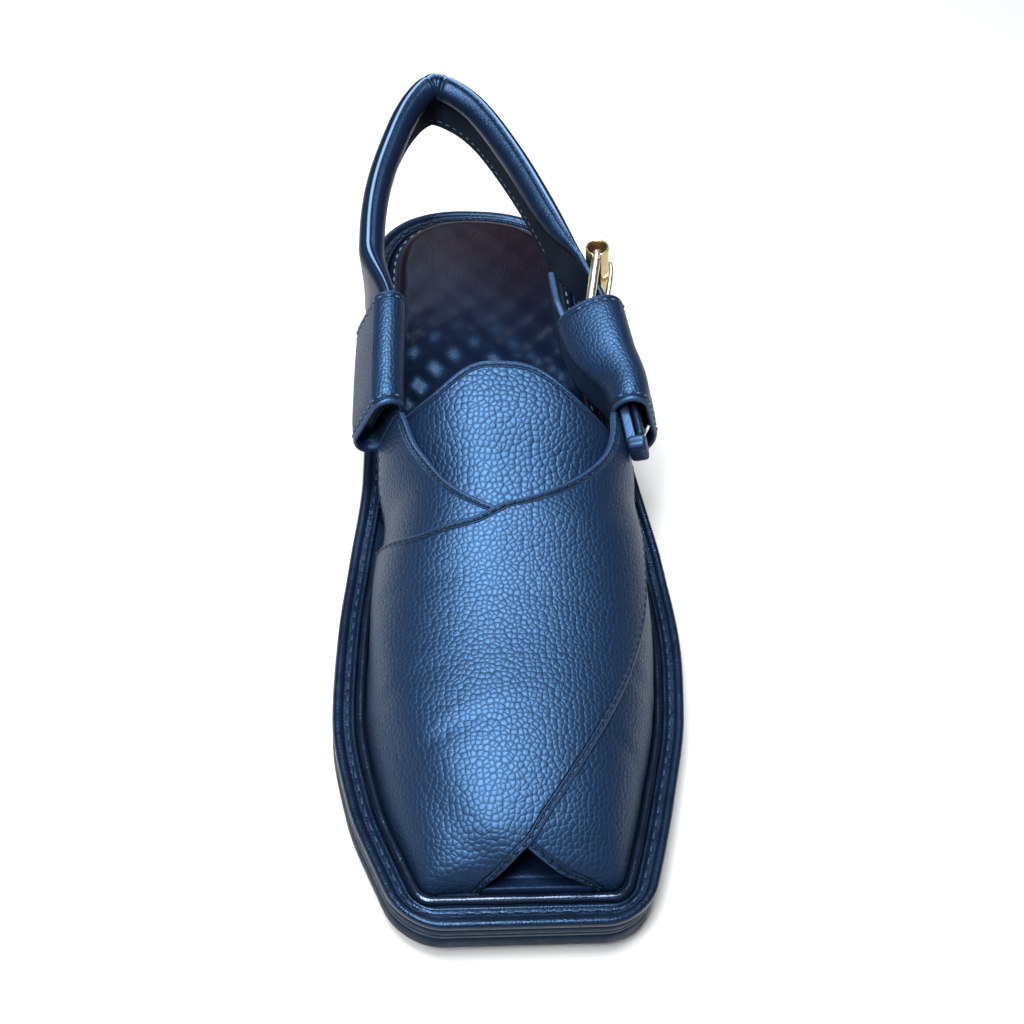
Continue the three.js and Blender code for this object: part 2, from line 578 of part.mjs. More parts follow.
// A sleeve: a flattened tube that lies on the last with its inner wall
function sleeve(tube) {
  const steps = 5;
  const turns = 22;
  const first = tube.rows[0].at;
  const end = tube.rows[tube.rows.length - 1].at;
  const rings = (shrink) => Array.from({ length: steps + 1 }, (unused, i) => {
    const at = lerp(first, end, i / steps);
    return Array.from({ length: turns }, (none, k) => {
      const { up, off } = stadium(tube, at, shrink, k / turns);
      return inSleeve(tube, at, up, off);
    });
  });
  const outer = rings(0);
  const inner = rings(SLEEVE_WALL);
  const faces = [];
  gridFaces(outer, false, true, faces);
  const under = [];
  gridFaces(inner, false, true, under);
  for (let i = 0; i < under.length; i += 3) faces.push(under[i], under[i + 2], under[i + 1]);
  gridFaces([inner[0], outer[0]], false, true, faces);
  gridFaces([outer[steps], inner[steps]], false, true, faces);
  return closed(faces);
}

// The sleeve's flattened outline: straight sides and round folds, t once round
function stadium(tube, at, shrink, t) {
  const thick = tube.thick * read(tube.rows, 'at', 'thick', at);
  const height = tube.height * read(tube.rows, 'at', 'height', at);
  const radius = thick / 2 - shrink;
  const straight = (height - thick) / 2;
  const turn = t * 2 * Math.PI;
  const up = (t < 0.5 ? 1 : -1) * straight + radius * Math.sin(turn);
  return { up, off: thick / 2 - SLEEVE_SINK - radius * Math.cos(turn) };
}

// A place in a sleeve: up from its middle along the girth, off from the last's surface
function inSleeve(tube, at, up, off) {
  const y = along(at);
  const middle = read(tube.rows, 'at', 'girth', at);
  const h = 0.02;
  const perGirth = lastPoint(middle + h, y).distanceTo(lastPoint(middle - h, y)) / (2 * h);
  return onLast(middle - Math.sign(middle) * (up / perGirth), y, off);
}

// The flat plane that touches the last at a sleeve's middle: where it touches, the way up the
// last and the way out of it
function sleeveAxes(tube, at) {
  const y = along(at);
  const middle = read(tube.rows, 'at', 'girth', at);
  const foot = lastPoint(middle, y);
  const rise = lastPoint(middle - Math.sign(middle) * 0.02, y).sub(foot).normalize();
  return { foot, rise, out: lastNormal(middle, y) };
}
function sleevePlane(tube, at, up, off) {
  const { foot, rise, out } = sleeveAxes(tube, at);
  return foot.addScaledVector(rise, up).addScaledVector(out, off);
}

// Joins and cuts
const toSolid = (geometry) => {
  const bare = geometry.clone();
  bare.deleteAttribute('normal');
  bare.deleteAttribute('uv');
  const merged = mergeVertices(bare, 1e-5);
  return new wasm.Manifold(new wasm.Mesh({
    numProp: 3,
    vertProperties: new Float32Array(merged.attributes.position.array),
    triVerts: new Uint32Array(merged.index.array),
  }));
};
const toGeometry = (solid) => {
  const mesh = solid.getMesh();
  const geometry = new THREE.BufferGeometry();
  geometry.setAttribute('position', new THREE.BufferAttribute(new Float32Array(mesh.vertProperties), 3));
  geometry.setIndex(new THREE.BufferAttribute(new Uint32Array(mesh.triVerts), 1));
  return geometry;
};

// The two straps and their sleeves joined; small voids pressed shut between the layers are
// left out, so only the outer skin of the joined solid is kept
function upper() {
  const level = () => 0;
  const joined = [
    strapSheet(OVER_STRAP, 16, 24, overLift),
    sleeve(INNER),
    sleeve(OUTER),
  ].reduce((sum, piece) => sum.add(toSolid(piece)), toSolid(strapSheet(UNDER_STRAP, 15, 22, level)));
  return joined.decompose().sort((a, b) => b.volume() - a.volume())[0];
}

function tongue() {
  const columns = 14;
  const rows = 12;
  const grid = (offset) => {
    const out = [];
    for (let i = 0; i <= rows; i += 1) {
      const row = [];
      for (let j = 0; j <= columns; j += 1) {
        const girth = lerp(-TONGUE.girth, TONGUE.girth, j / columns);
        const top = TONGUE.top - TONGUE.fall * (1 - Math.exp(-((girth / TONGUE.peak) ** 2)))
          - TONGUE.skew * girth;
        row.push(onLast(girth, along(lerp(TONGUE.front, top, i / rows)), offset));
      }
      out.push(row);
    }
    return out;
  };
  return sheet(grid(-TONGUE_GAP), grid(-TONGUE_GAP - TONGUE_WALL));
}

// A tube or band lofted through sections of equal length, its ends closed with a flat cover
function loft(sections, flat) {
  const faces = [];
  gridFaces(sections, false, true, faces);
  const end = sections[sections.length - 1];
  const runsBack = THREE.ShapeUtils.area(flat) > 0;
  THREE.ShapeUtils.triangulateShape(flat, []).forEach((corners) => {
    const turned = THREE.ShapeUtils.area(corners.map((k) => flat[k])) > 0 === runsBack;
    const [a, b, c] = turned ? corners : [...corners].reverse();
    faces.push(sections[0][a], sections[0][b], sections[0][c]);
    faces.push(end[a], end[c], end[b]);
  });
  return closed(faces);
}

// Section of the heel strap: a band with the padded roll along its top inner edge, as places
// inward from the outer face and down from the top
function strapSection(roll, width) {
  const wall = HEEL_STRAP_WALL;
  const radius = Math.max(roll, wall / 2 + 0.02);
  const steps = 8;
  const start = Math.PI;
  const finish = -Math.acos(THREE.MathUtils.clamp(wall / radius - 1, -1, 1));
  const points = [{ inward: 0, down: width }, { inward: 0, down: width * 0.6 }];
  for (let i = 0; i <= steps; i += 1) {
    const turn = lerp(start, finish, i / steps);
    points.push({ inward: radius + radius * Math.cos(turn), down: radius - radius * Math.sin(turn) });
  }
  points.push({ inward: wall, down: width * 0.7 });
  points.push({ inward: wall, down: width });
  return points;
}

// Stations of the heel strap inside a sleeve
function passage(tube, at, { top, off, width, roll }) {
  const { rise, out } = sleeveAxes(tube, at);
  const place = sleevePlane(tube, at, top, off);
  return { top: place, inward: out.negate(), down: rise.negate(), roll, width };
}

// Outer face of the strap's narrow end off the last, from the sleeve's front to its rear mouth
const BILLET_FLAT = 0.54;
const BILLET_RISEN = 0.66;
const billetOff = (at) => lerp(
  BILLET_FRONT_OFF, BILLET_REAR_OFF, smooth((at - BILLET_FLAT) / (BILLET_RISEN - BILLET_FLAT)));

// Stations of the whole heel strap: top outer edge, direction inwards and direction down its
// face, roll radius and width
function strapStations() {
  const free = new THREE.CatmullRomCurve3(HEEL_STRAP.map(({ at, across }) => {
    const y = along(at);
    const fall = (along(STRAP_REAR) - y) * STRAP_SLOPE;
    return V(across * BALL_WIDTH, y, STRAP_TOP - fall);
  }), false, 'centripetal');
  const rolls = HEEL_STRAP.map((row, i) => ({ t: i / (HEEL_STRAP.length - 1), roll: row.roll }));
  const middle = V(0, along(0.75), 0);
  const steps = 30;
  const round = Array.from({ length: steps + 1 }, (unused, i) => {
    const t = i / steps;
    const top = free.getPoint(t);
    const run = free.getTangent(t);
    const inward = V(run.y, -run.x, 0).normalize();
    if (inward.dot(middle.clone().sub(top)) < 0) inward.negate();
    const fill = read(rolls, 't', 'roll', t);
    const width = lerp(BILLET_WIDTH, HEEL_STRAP_WIDTH, smooth(fill));
    const down = V(0, 0, -1).multiplyScalar(width).addScaledVector(inward, STRAP_LEAN).normalize();
    return { top, inward, down, roll: ROLL_RADIUS * fill, width };
  });
  const width = PRESSED_WIDTH * HEEL_STRAP_WIDTH;
  const roll = PRESSED_ROLL * ROLL_RADIUS;
  const pressed = { top: 0.554 * width, off: SLEEVE_FLOOR + GAP + 2 * roll, width, roll };
  const innerSide = [0.535, 0.59, 0.66].map((at) => passage(INNER, at, pressed));
  const billet = { top: BILLET_WIDTH / 2, width: BILLET_WIDTH, roll: 0 };
  const outerSide = [BILLET_RISEN, 0.62, 0.58, BILLET_FLAT, STRAP_END].map((at) => (
    passage(OUTER, at, { ...billet, off: billetOff(at) })));
  return { stations: [...innerSide, ...round, ...outerSide], mouth: outerSide[0], last: round[steps] };
}

function heelStrap() {
  const sections = strapStations().stations.map(({ top, inward, down, roll, width }) => (
    strapSection(roll, width).map((p) => (
      top.clone().addScaledVector(inward, p.inward).addScaledVector(down, p.down)))));
  const flat = strapSection(ROLL_RADIUS, HEEL_STRAP_WIDTH)
    .map((p) => new THREE.Vector2(p.inward, -p.down));
  return loft(sections, flat);
}

// Buckle: the hinge bar inside the strap's fold, and the roller outside the strap
function bucklePlaces() {
  const { last, mouth } = strapStations();
  const mix = (key) => last[key].clone().lerp(mouth[key], ROLLER_SHARE);
  const down = mix('down').normalize();
  const outward = mix('inward').normalize().negate();
  const roller = mix('top').addScaledVector(down, lerp(last.width, mouth.width, ROLLER_SHARE) / 2)
    .addScaledVector(outward, ROLLER_OUTER / 2 + 2 * GAP);
  const hinge = sleevePlane(OUTER, HINGE_AT, 0, HINGE_OFF);
  const hingeUp = sleeveAxes(OUTER, HINGE_AT).rise;
  const run = roller.clone().sub(hinge).normalize();
  return { roller, rollerUp: down.clone().negate(), outward, hinge, hingeUp, run };
}

const circle = (sides) => Array.from({ length: sides }, (unused, k) => {
  const turn = (k / sides) * 2 * Math.PI;
  return new THREE.Vector2(Math.cos(turn), Math.sin(turn));
});

// A round bar along a path of points that lies in the plane of the given normal, closed on
// itself or with flat ends
function bar(points, diameter, { ring, normal, sides = 8 }) {
  const n = points.length;
  const sections = points.map((p, i) => {
    const before = points[ring ? (i + n - 1) % n : Math.max(i - 1, 0)];
    const after = points[ring ? (i + 1) % n : Math.min(i + 1, n - 1)];
    const run = after.clone().sub(before).normalize();
    const side = run.clone().cross(normal).normalize();
    const rise = side.clone().cross(run);
    return circle(sides).map((c) => p.clone().addScaledVector(side, c.x * diameter / 2)
      .addScaledVector(rise, c.y * diameter / 2));
  });
  if (!ring) return loft(sections, circle(sides));
  const faces = [];
  gridFaces(sections, true, true, faces);
  return closed(faces);
}

function buckleLoop() {
  const { roller, rollerUp, hinge, hingeUp, run } = bucklePlaces();
  const half = BUCKLE_WIDTH / 2;
  const corners = [
    hinge.clone().addScaledVector(hingeUp, half),
    roller.clone().addScaledVector(rollerUp, half),
    roller.clone().addScaledVector(rollerUp, -half),
    hinge.clone().addScaledVector(hingeUp, -half),
  ];
  const turns = 4;
  const points = corners.flatMap((corner, i) => {
    const bend = (other) => corner.clone()
      .addScaledVector(other.clone().sub(corner).normalize(), BUCKLE_CORNER);
    const curve = new THREE.QuadraticBezierCurve3(
      bend(corners[(i + 3) % 4]), corner, bend(corners[(i + 1) % 4]));
    return curve.getPoints(turns);
  });
  return bar(points, WIRE, { ring: true, normal: hingeUp.clone().cross(run).normalize() });
}

// A tube round an axis, its bore left open
function pipe(middle, axis, length, outer, inner, sides = 16) {
  const across = V(1, 0, 0).cross(axis).normalize();
  const other = axis.clone().cross(across);
  const rings = [[outer, -1], [outer, 1], [inner, 1], [inner, -1]].map(([diameter, end]) => (
    circle(sides).map((c) => middle.clone().addScaledVector(axis, end * length / 2)
      .addScaledVector(across, c.x * diameter / 2).addScaledVector(other, c.y * diameter / 2))));
  const faces = [];
  gridFaces(rings, true, true, faces);
  return closed(faces);
}

// The prong: a pin from the hinge bar, arched outwards, through the strap and over the roller
function pin(diameter) {
  const { roller, outward, hinge, hingeUp, run } = bucklePlaces();
  const eye = WIRE / 2 + GAP;
  const rest = roller.clone().addScaledVector(outward, ROLLER_OUTER / 2 + GAP + PRONG / 2);
  const path = new THREE.CatmullRomCurve3([
    hinge.clone().addScaledVector(run, eye + PRONG / 2),
    hinge.clone().lerp(rest, 0.5).addScaledVector(outward, PRONG_LIFT),
    rest.clone().addScaledVector(run, -PRONG_REST),
    rest,
    rest.clone().addScaledVector(run, PRONG_REST).addScaledVector(outward, -PRONG / 4),
  ], false, 'centripetal');
  return toSolid(bar(path.getPoints(12), diameter, { ring: false, normal: hingeUp }));
}

function prong() {
  const { hinge, hingeUp } = bucklePlaces();
  const bore = WIRE + 2 * GAP;
  return toGeometry(pin(PRONG).add(toSolid(pipe(hinge, hingeUp, PRONG, bore + PRONG, bore))));
}

// The short strap that holds the buckle, drawn from the side as distances forward of the hinge
// bar and off the last: a round fold with a bore, and two layers run forward to the sleeve's
// mouth. It is carried across its width, and the prong's slot is cut through the fold.
function chape() {
  const forward = (HINGE_AT - STRAP_END) * LENGTH + CHAPE_PAST;
  const middle = (x) => lerp(HINGE_OFF, CHAPE_OFF, smooth(x / FOLD_BEND));
  const arc = 12;
  const opening = 0.3 * Math.PI; // where the fold's arc meets the two layers
  const fold = Array.from({ length: arc + 1 }, (unused, k) => {
    const turn = lerp(opening, 2 * Math.PI - opening, k / arc);
    return new THREE.Vector2(FOLD_RADIUS * Math.cos(turn), HINGE_OFF + FOLD_RADIUS * Math.sin(turn));
  });
  const steps = 8;
  const runs = Array.from({ length: steps }, (unused, k) => lerp(
    FOLD_RADIUS + CHAPE, forward, k / (steps - 1)));
  const contour = [
    ...fold,
    ...runs.map((x) => new THREE.Vector2(x, middle(x) - CHAPE)),
    ...runs.toReversed().map((x) => new THREE.Vector2(x, middle(x) + CHAPE)),
  ];
  const axle = new THREE.Vector2(0, HINGE_OFF);
  const bore = circle(arc).map((c) => c.multiplyScalar(FOLD_RADIUS - CHAPE).add(axle));
  const flat = [...contour, ...bore];
  const level = (up) => flat.map((p) => sleevePlane(OUTER, HINGE_AT - p.x / LENGTH, up, p.y));
  const [low, high] = [level(-CHAPE_WIDTH / 2), level(CHAPE_WIDTH / 2)];
  const faces = [];
  const runsBack = THREE.ShapeUtils.area(contour) > 0;
  THREE.ShapeUtils.triangulateShape(contour, [bore]).forEach((corners) => {
    const turned = THREE.ShapeUtils.area(corners.map((k) => flat[k])) > 0 === runsBack;
    const [a, b, c] = turned ? corners : [...corners].reverse();
    faces.push(low[a], low[c], low[b], high[a], high[b], high[c]);
  });
  const wall = (start, count, back) => {
    const loop = Array.from({ length: count }, (unused, k) => start + (back ? count - 1 - k : k));
    gridFaces([loop.map((k) => high[k]), loop.map((k) => low[k])], false, true, faces);
  };
  wall(0, contour.length, false);
  wall(contour.length, bore.length, (THREE.ShapeUtils.area(bore) > 0) === runsBack);
  const { hinge, hingeUp, run } = bucklePlaces();
  const slot = block(hinge, hingeUp, run, PRONG + CHAPE_PLAY + 4 * GAP, 2 * (FOLD_RADIUS + 2 * WIRE));
  return toGeometry(toSolid(closed(faces)).subtract(toSolid(slot)));
}

// A box round a middle: its height along up, square across it
function block(middle, up, run, height, size) {
  const geometry = new THREE.BoxGeometry(size, size, height);
  const side = up.clone().cross(run).normalize();
  const square = side.clone().cross(up);
  geometry.applyMatrix4(new THREE.Matrix4().makeBasis(square, side, up).setPosition(middle));
  return geometry;
}

// A flat tab between foot and sleeve, its rear end rounded off below
function guardTab() {
  const steps = 10;
  const columns = 4;
  const squareTo = 0.45; // full height up to this share of its length
  const off = -SLEEVE_SINK - TAB_PLAY - TAB;
  const grid = (depth) => Array.from({ length: steps + 1 }, (unused, i) => {
    const t = i / steps;
    const fall = smooth((t - squareTo) / (1 - squareTo));
    const height = TAB_HEIGHT * Math.sqrt(1 - 0.97 * fall * fall);
    return Array.from({ length: columns + 1 }, (none, k) => (
      sleevePlane(OUTER, lerp(TAB_FRONT, TAB_REAR, t), TAB_TOP - height * (k / columns), depth)));
  });
  return sheet(grid(off + TAB), grid(off));
}

// The small ring stands out of the strap's end, in a level plane
function endRing() {
  const { out } = sleeveAxes(OUTER, STRAP_END);
  const back = V(0, 1, 0);
  const middle = sleevePlane(OUTER, STRAP_END, 0, billetOff(STRAP_END))
    .addScaledVector(out, RING_RADIUS + RING_WIRE / 2 + GAP).addScaledVector(back, RING_RADIUS);
  const points = circle(16).map((c) => middle.clone().addScaledVector(out, c.x * RING_RADIUS)
    .addScaledVector(back, c.y * RING_RADIUS));
  return bar(points, RING_WIRE, { ring: true, normal: back.clone().cross(out).normalize(), sides: 6 });
}

const shoe = new THREE.Group();
function add(name, geometry, look) {
  const mesh = new THREE.Mesh(geometry, new THREE.MeshStandardMaterial(look));
  mesh.name = name;
  shoe.add(mesh);
}

add('outsole', layer(OUTSOLE_EDGE.map(({ inset, up }) => (
  { inset: inset * OUTSOLE, height: up * OUTSOLE }))), RUBBER);

add('heel', layer([
  { inset: HEEL_TAPER + HEEL_CHAMFER, height: 0, base: floor },
  { inset: HEEL_TAPER, height: HEEL_CHAMFER, base: floor },
  { inset: HEEL_CHAMFER, height: -GAP },
], { at: HEEL_BREAST, corner: HEEL_CORNER, steps: 4 }), RUBBER);

const channel = WELT_WIDTH + GAP;
add('midsole', layer([
  ...MIDSOLE_EDGE.map(({ inset, up }) => (
    { inset: inset * MIDSOLE, height: STACK.midsoleFoot + up * MIDSOLE })),
  { inset: channel, height: STACK.midsoleTop },
  { inset: channel + PLATEAU_DRAFT, height: STACK.plateau },
]), RUBBER);

add('welt', roundStrip(WELT_SECTION.map(({ inset, up }) => (
  { inset: inset * WELT_WIDTH, height: STACK.weltFoot + up * WELT }))), RUBBER);

add('rand', toeStrip(circle(6).map((c) => ({
  inset: RAND_MIDDLE - RAND_RADIUS * c.x,
  height: STACK.seat + RAND_RADIUS + RAND_RADIUS * c.y,
})), RAND_END), GLOSSY);

// The footbed is narrow between the straps and meets the welt behind them
const widening = (y) => smooth((share(y) - BED_WIDENS.from) / (BED_WIDENS.to - BED_WIDENS.from));
const bedEdge = (draw) => (side, y) => draw + lerp(FOOTBED_INSET, channel, widening(y));
add('footbed', layer([
  { inset: bedEdge(0), height: STACK.seat },
  { inset: bedEdge(FOOTBED_ROUND / 8), height: STACK.seat + FOOTBED * 0.3 },
  { inset: bedEdge(FOOTBED_ROUND), height: STACK.footbedTop },
]), GLOSSY);

add('heel_pad', layer(PAD_EDGE.map(({ inset, up }) => (
  { inset: channel + PAD_MARGIN + inset * HEEL_PAD, height: STACK.padFoot + up * HEEL_PAD })),
{ at: PAD_FRONT, corner: PAD_CORNER, steps: 7 }), GLOSSY);

add('upper', toGeometry(upper()), LEATHER);
add('tongue', tongue(), LEATHER);
add('heel_strap', toGeometry(toSolid(heelStrap()).subtract(pin(PRONG + 2 * GAP))), GLOSSY);
add('buckle_frame', buckleLoop(), BRASS);
const { roller, rollerUp } = bucklePlaces();
const bore = ROLLER_OUTER - 2 * ROLLER_WALL;
add('buckle_roller', pipe(roller, rollerUp, ROLLER_LENGTH, ROLLER_OUTER, bore), BRASS);
add('buckle_prong', prong(), BRASS);
add('buckle_strap', chape(), LEATHER);
add('guard_tab', guardTab(), LEATHER);
add('end_ring', endRing(), BRASS);

// The origin is the middle of the whole shoe's footprint, on the floor
const reach = new THREE.Box3().setFromObject(shoe);
shoe.position.set(-(reach.min.x + reach.max.x) / 2, -(reach.min.y + reach.max.y) / 2, -reach.min.z);

export default shoe;
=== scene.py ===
"""Looks of a man's left crossed-strap chappal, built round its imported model.

Shapes are worked out in millimetres on the sole's own axis and moved into the frame as metres.
+Y runs from the toe to the heel and +X to the outer side.
"""

from __future__ import annotations

import logging
import math
from collections.abc import Callable, Iterable
from dataclasses import dataclass, field
from enum import Enum

import bmesh
import bpy
import numpy as np
from mathutils import Matrix, Vector


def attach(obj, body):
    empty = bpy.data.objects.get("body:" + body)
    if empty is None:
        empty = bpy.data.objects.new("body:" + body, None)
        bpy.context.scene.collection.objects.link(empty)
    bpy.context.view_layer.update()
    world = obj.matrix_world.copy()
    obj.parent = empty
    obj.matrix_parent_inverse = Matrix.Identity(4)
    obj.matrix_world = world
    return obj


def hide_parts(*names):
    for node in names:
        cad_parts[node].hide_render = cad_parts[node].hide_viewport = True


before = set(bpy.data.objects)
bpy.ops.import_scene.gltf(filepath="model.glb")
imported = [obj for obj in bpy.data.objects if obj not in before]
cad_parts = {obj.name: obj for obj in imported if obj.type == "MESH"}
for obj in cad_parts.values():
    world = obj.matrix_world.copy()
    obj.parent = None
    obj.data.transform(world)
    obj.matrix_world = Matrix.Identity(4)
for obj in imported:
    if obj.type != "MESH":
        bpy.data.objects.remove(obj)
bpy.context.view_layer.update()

BODY = "root"
MM = 0.001
AXIS_SHIFT = np.array([-1.182, 0.0, 0.0])
UPWARD = np.array([0.0, 0.0, 1.0])
Array = np.ndarray
Colour = tuple[float, float, float, float]
Inset = Callable[[int, Array], Array]
LOG = logging.getLogger("chappal")


def smooth_step(value: Array) -> Array:
    """The cubic that climbs from 0 to 1 as value does, flat at both ends."""
    t = np.clip(value, 0.0, 1.0)
    return t * t * (3 - 2 * t)


def mix(low: Array, high: Array, share: Array) -> Array:
    """The place between low and high at a share of the way."""
    return low + (high - low) * share


def unit(vectors: Array) -> Array:
    """Vectors scaled to length one, along the last axis."""
    return vectors / np.maximum(np.linalg.norm(vectors, axis=-1, keepdims=True), 1e-12)


def bell(value: Array, width: float) -> Array:
    """A bell curve of height one: e to the minus square of value over width."""
    return np.exp(-((value / width) ** 2))


def arc_length(points: Array, axis: int) -> Array:
    """Distance covered along one axis of a grid of points, nought at its start.

    Args:
        points: grid of points.
        axis: the way along which the steps are summed.

    Returns:
        Lengths, shaped like the grid.
    """
    steps = np.linalg.norm(np.diff(points, axis=axis), axis=-1)
    pad = [(0, 0)] * steps.ndim
    pad[axis] = (1, 0)
    return np.pad(np.cumsum(steps, axis=axis), pad)


def sampled(data: Array, run: Array, goal: Array) -> Array:
    """Rows of the data at other runs, mixed from the rows before and after.

    Args:
        data: rows of numbers.
        run: where each row lies, rising.
        goal: where rows are wanted.

    Returns:
        One row for each goal.
    """
    return np.column_stack([np.interp(goal, run, column) for column in data.T])


def crowded(count: int) -> Array:
    """Shares from 0 to 1 that crowd towards both ends: half of one minus the cosine."""
    return (1 - np.cos(np.linspace(0, math.pi, count))) / 2


def full_turn(count: int) -> Array:
    """Angles evenly round a circle, without the last that would repeat the first."""
    return np.linspace(0, 2 * math.pi, count, endpoint=False)


def sealed(values: Array) -> Array:
    """The same grid with its border at nought, where two skins meet.

    Args:
        values: grid of numbers.

    Returns:
        A new grid.
    """
    inside = np.zeros(values.shape, bool)
    inside[1:-1, 1:-1] = True
    return np.where(inside, values, 0.0)


@dataclass(frozen=True)
class Table:
    """A short table of numbers with named columns, read by smooth interpolation."""

    names: str
    rows: tuple[tuple[float, ...], ...]

    def column(self, name: str) -> Array:
        """All the numbers of one column."""
        place = self.names.split().index(name)
        return np.array([row[place] for row in self.rows], float)

    def read(self, name: str, value: Array, key: str = "at") -> Array:
        """Reads a column between its rows without overshoot.

        Each stretch is a cubic whose slope at a row is the harmonic mean of the slopes on both
        sides, or nought where they turn.

        Args:
            name: column to read.
            value: places in the key column, one or many.
            key: column that the rows are sorted by.

        Returns:
            The column's value at each place.
        """
        xs, ys = self.column(key), self.column(name)
        value = np.clip(np.asarray(value, float), xs[0], xs[-1])
        run = np.diff(xs)
        slope = np.diff(ys) / run
        before, after = slope[:-1], slope[1:]
        both = np.where(before + after == 0, 1, before + after)
        inner = np.where(before * after <= 0, 0, 2 * before * after / both)
        tangent = np.concatenate([slope[:1], inner, slope[-1:]])
        i = np.clip(np.searchsorted(xs, value, side="right") - 1, 0, len(run) - 1)
        t = (value - xs[i]) / run[i]
        t2, t3 = t * t, t * t * t
        return (
            (2 * t3 - 3 * t2 + 1) * ys[i]
            + (t3 - 2 * t2 + t) * run[i] * tangent[i]
            + (3 * t2 - 2 * t3) * ys[i + 1]
            + (t3 - t2) * run[i] * tangent[i + 1]
        )


OUTLINE = Table("at inner outer", (
    (0.0, 0.316, 0.3), (0.06, 0.379, 0.358), (0.14, 0.451, 0.423), (0.24, 0.489, 0.488),
    (0.34, 0.475, 0.511), (0.44, 0.441, 0.496), (0.55, 0.4, 0.45), (0.68, 0.389, 0.396),
    (0.8, 0.379, 0.373), (0.9, 0.368, 0.366), (1.0, 0.364, 0.364),
))
UNDERSIDE = Table("at toe heel", (
    (0.0, 1, 0), (0.06, 0.62, 0), (0.12, 0.3, 0), (0.19, 0.05, 0), (0.23, 0, 0), (0.4, 0, 0),
    (0.47, 0, 0.12), (0.55, 0, 0.42), (0.64, 0, 0.75), (0.72, 0, 0.94), (0.8, 0, 1),
    (1.0, 0, 1),
))
LAST = Table("at height inner outer splay_in splay_out", (
    (0.0412, 0.005, 2.2, 2.2, 0, 0), (0.045, 0.1, 2.2, 2.2, 0, 0),
    (0.0517, 0.175, 2.2, 2.2, 0, 0), (0.0633, 0.233, 2.2, 2.2, 0, 0),
    (0.083, 0.305, 2.2, 2.2, 0, 0), (0.133, 0.407, 2.2, 2.2, 0, 0),
    (0.2, 0.493, 2.2, 2.3, 0, 0), (0.267, 0.545, 2.2, 2.4, 0, 0),
    (0.333, 0.628, 2.2, 2.5, 0, 0), (0.383, 0.728, 2.25, 2.6, 0, 0),
    (0.443, 0.835, 2.3, 2.8, 0, 0), (0.5, 0.95, 2.6, 3.0, 0.045, 0.018),
    (0.55, 0.987, 2.8, 3.0, 0.068, 0.018), (0.6, 1.035, 2.8, 3.0, 0.07, -0.018),
    (0.67, 1.1, 2.8, 3.0, 0.066, -0.058),
))


@dataclass(frozen=True)
class StrapOutline:
    """Edges of a broad strap on the last, in girth and share of the length.

    front is the free edge from the toe tip to the sleeve, base the edge held in the sole, rear
    the edge from the sleeve round to the waist.
    """

    front: Table
    base: Table
    rear: Table


def held_edge(side: int) -> Table:
    """The edge held in the sole.

    Args:
        side: -1 for the inner side, 1 for the outer.

    Returns:
        Its table.
    """
    places = ((0, 0.0413), (0.1, 0.063), (0.2, 0.107), (0.35, 0.18), (0.5, 0.253), (0.65, 0.32),
              (0.8, 0.38), (1, 0.443))
    return Table("t girth at", tuple((t, side, at) for t, at in places))


OVER_STRAP = StrapOutline(
    front=Table("t girth at", (
        (0, -0.31, 0.0413), (0.06, -0.12, 0.048), (0.12, 0.024, 0.0643), (0.2, 0.144, 0.0913),
        (0.32, 0.302, 0.138), (0.43, 0.428, 0.189), (0.55, 0.551, 0.25), (0.67, 0.65, 0.31),
        (0.77, 0.7, 0.357), (0.86, 0.735, 0.407), (0.93, 0.775, 0.463), (1, 0.81, 0.53),
    )),
    base=held_edge(-1),
    rear=Table("t girth at", (
        (0, 0.81, 0.53), (0.15, 0.575, 0.53), (0.24, 0.42, 0.47), (0.34, 0.21, 0.429),
        (0.46, 0.0, 0.402), (0.58, -0.17, 0.387), (0.72, -0.4, 0.385), (0.86, -0.68, 0.405),
        (1, -1, 0.443),
    )),
)
UNDER_STRAP = StrapOutline(
    front=Table("t girth at", (
        (0, 0.63, 0.0413), (0.06, 0.214, 0.048), (0.12, 0.024, 0.0617), (0.2, -0.12, 0.0933),
        (0.32, -0.28, 0.138), (0.43, -0.41, 0.19), (0.55, -0.53, 0.25), (0.67, -0.66, 0.31),
        (0.77, -0.78, 0.367), (0.86, -0.88, 0.42), (0.93, -0.87, 0.475), (1, -0.8, 0.53),
    )),
    base=held_edge(1),
    rear=Table("t girth at", (
        (0, -0.8, 0.53), (0.15, -0.56, 0.53), (0.24, -0.46, 0.48), (0.34, -0.29, 0.432),
        (0.46, -0.06, 0.4), (0.58, 0.12, 0.386), (0.72, 0.37, 0.38), (0.86, 0.67, 0.403),
        (1, 1, 0.443),
    )),
)
HEEL_STRAP_PLAN = Table("at across roll", (
    (0.7, -0.418, 1), (0.753, -0.42, 1), (0.81, -0.402, 1), (0.869, -0.358, 1),
    (0.926, -0.297, 1), (0.959, -0.232, 1), (0.969, -0.176, 1), (0.957, -0.09, 1),
    (0.93, -0.008, 1), (0.871, 0.093, 1), (0.813, 0.17, 1), (0.77, 0.217, 0.85),
    (0.73, 0.25, 0.35),
))

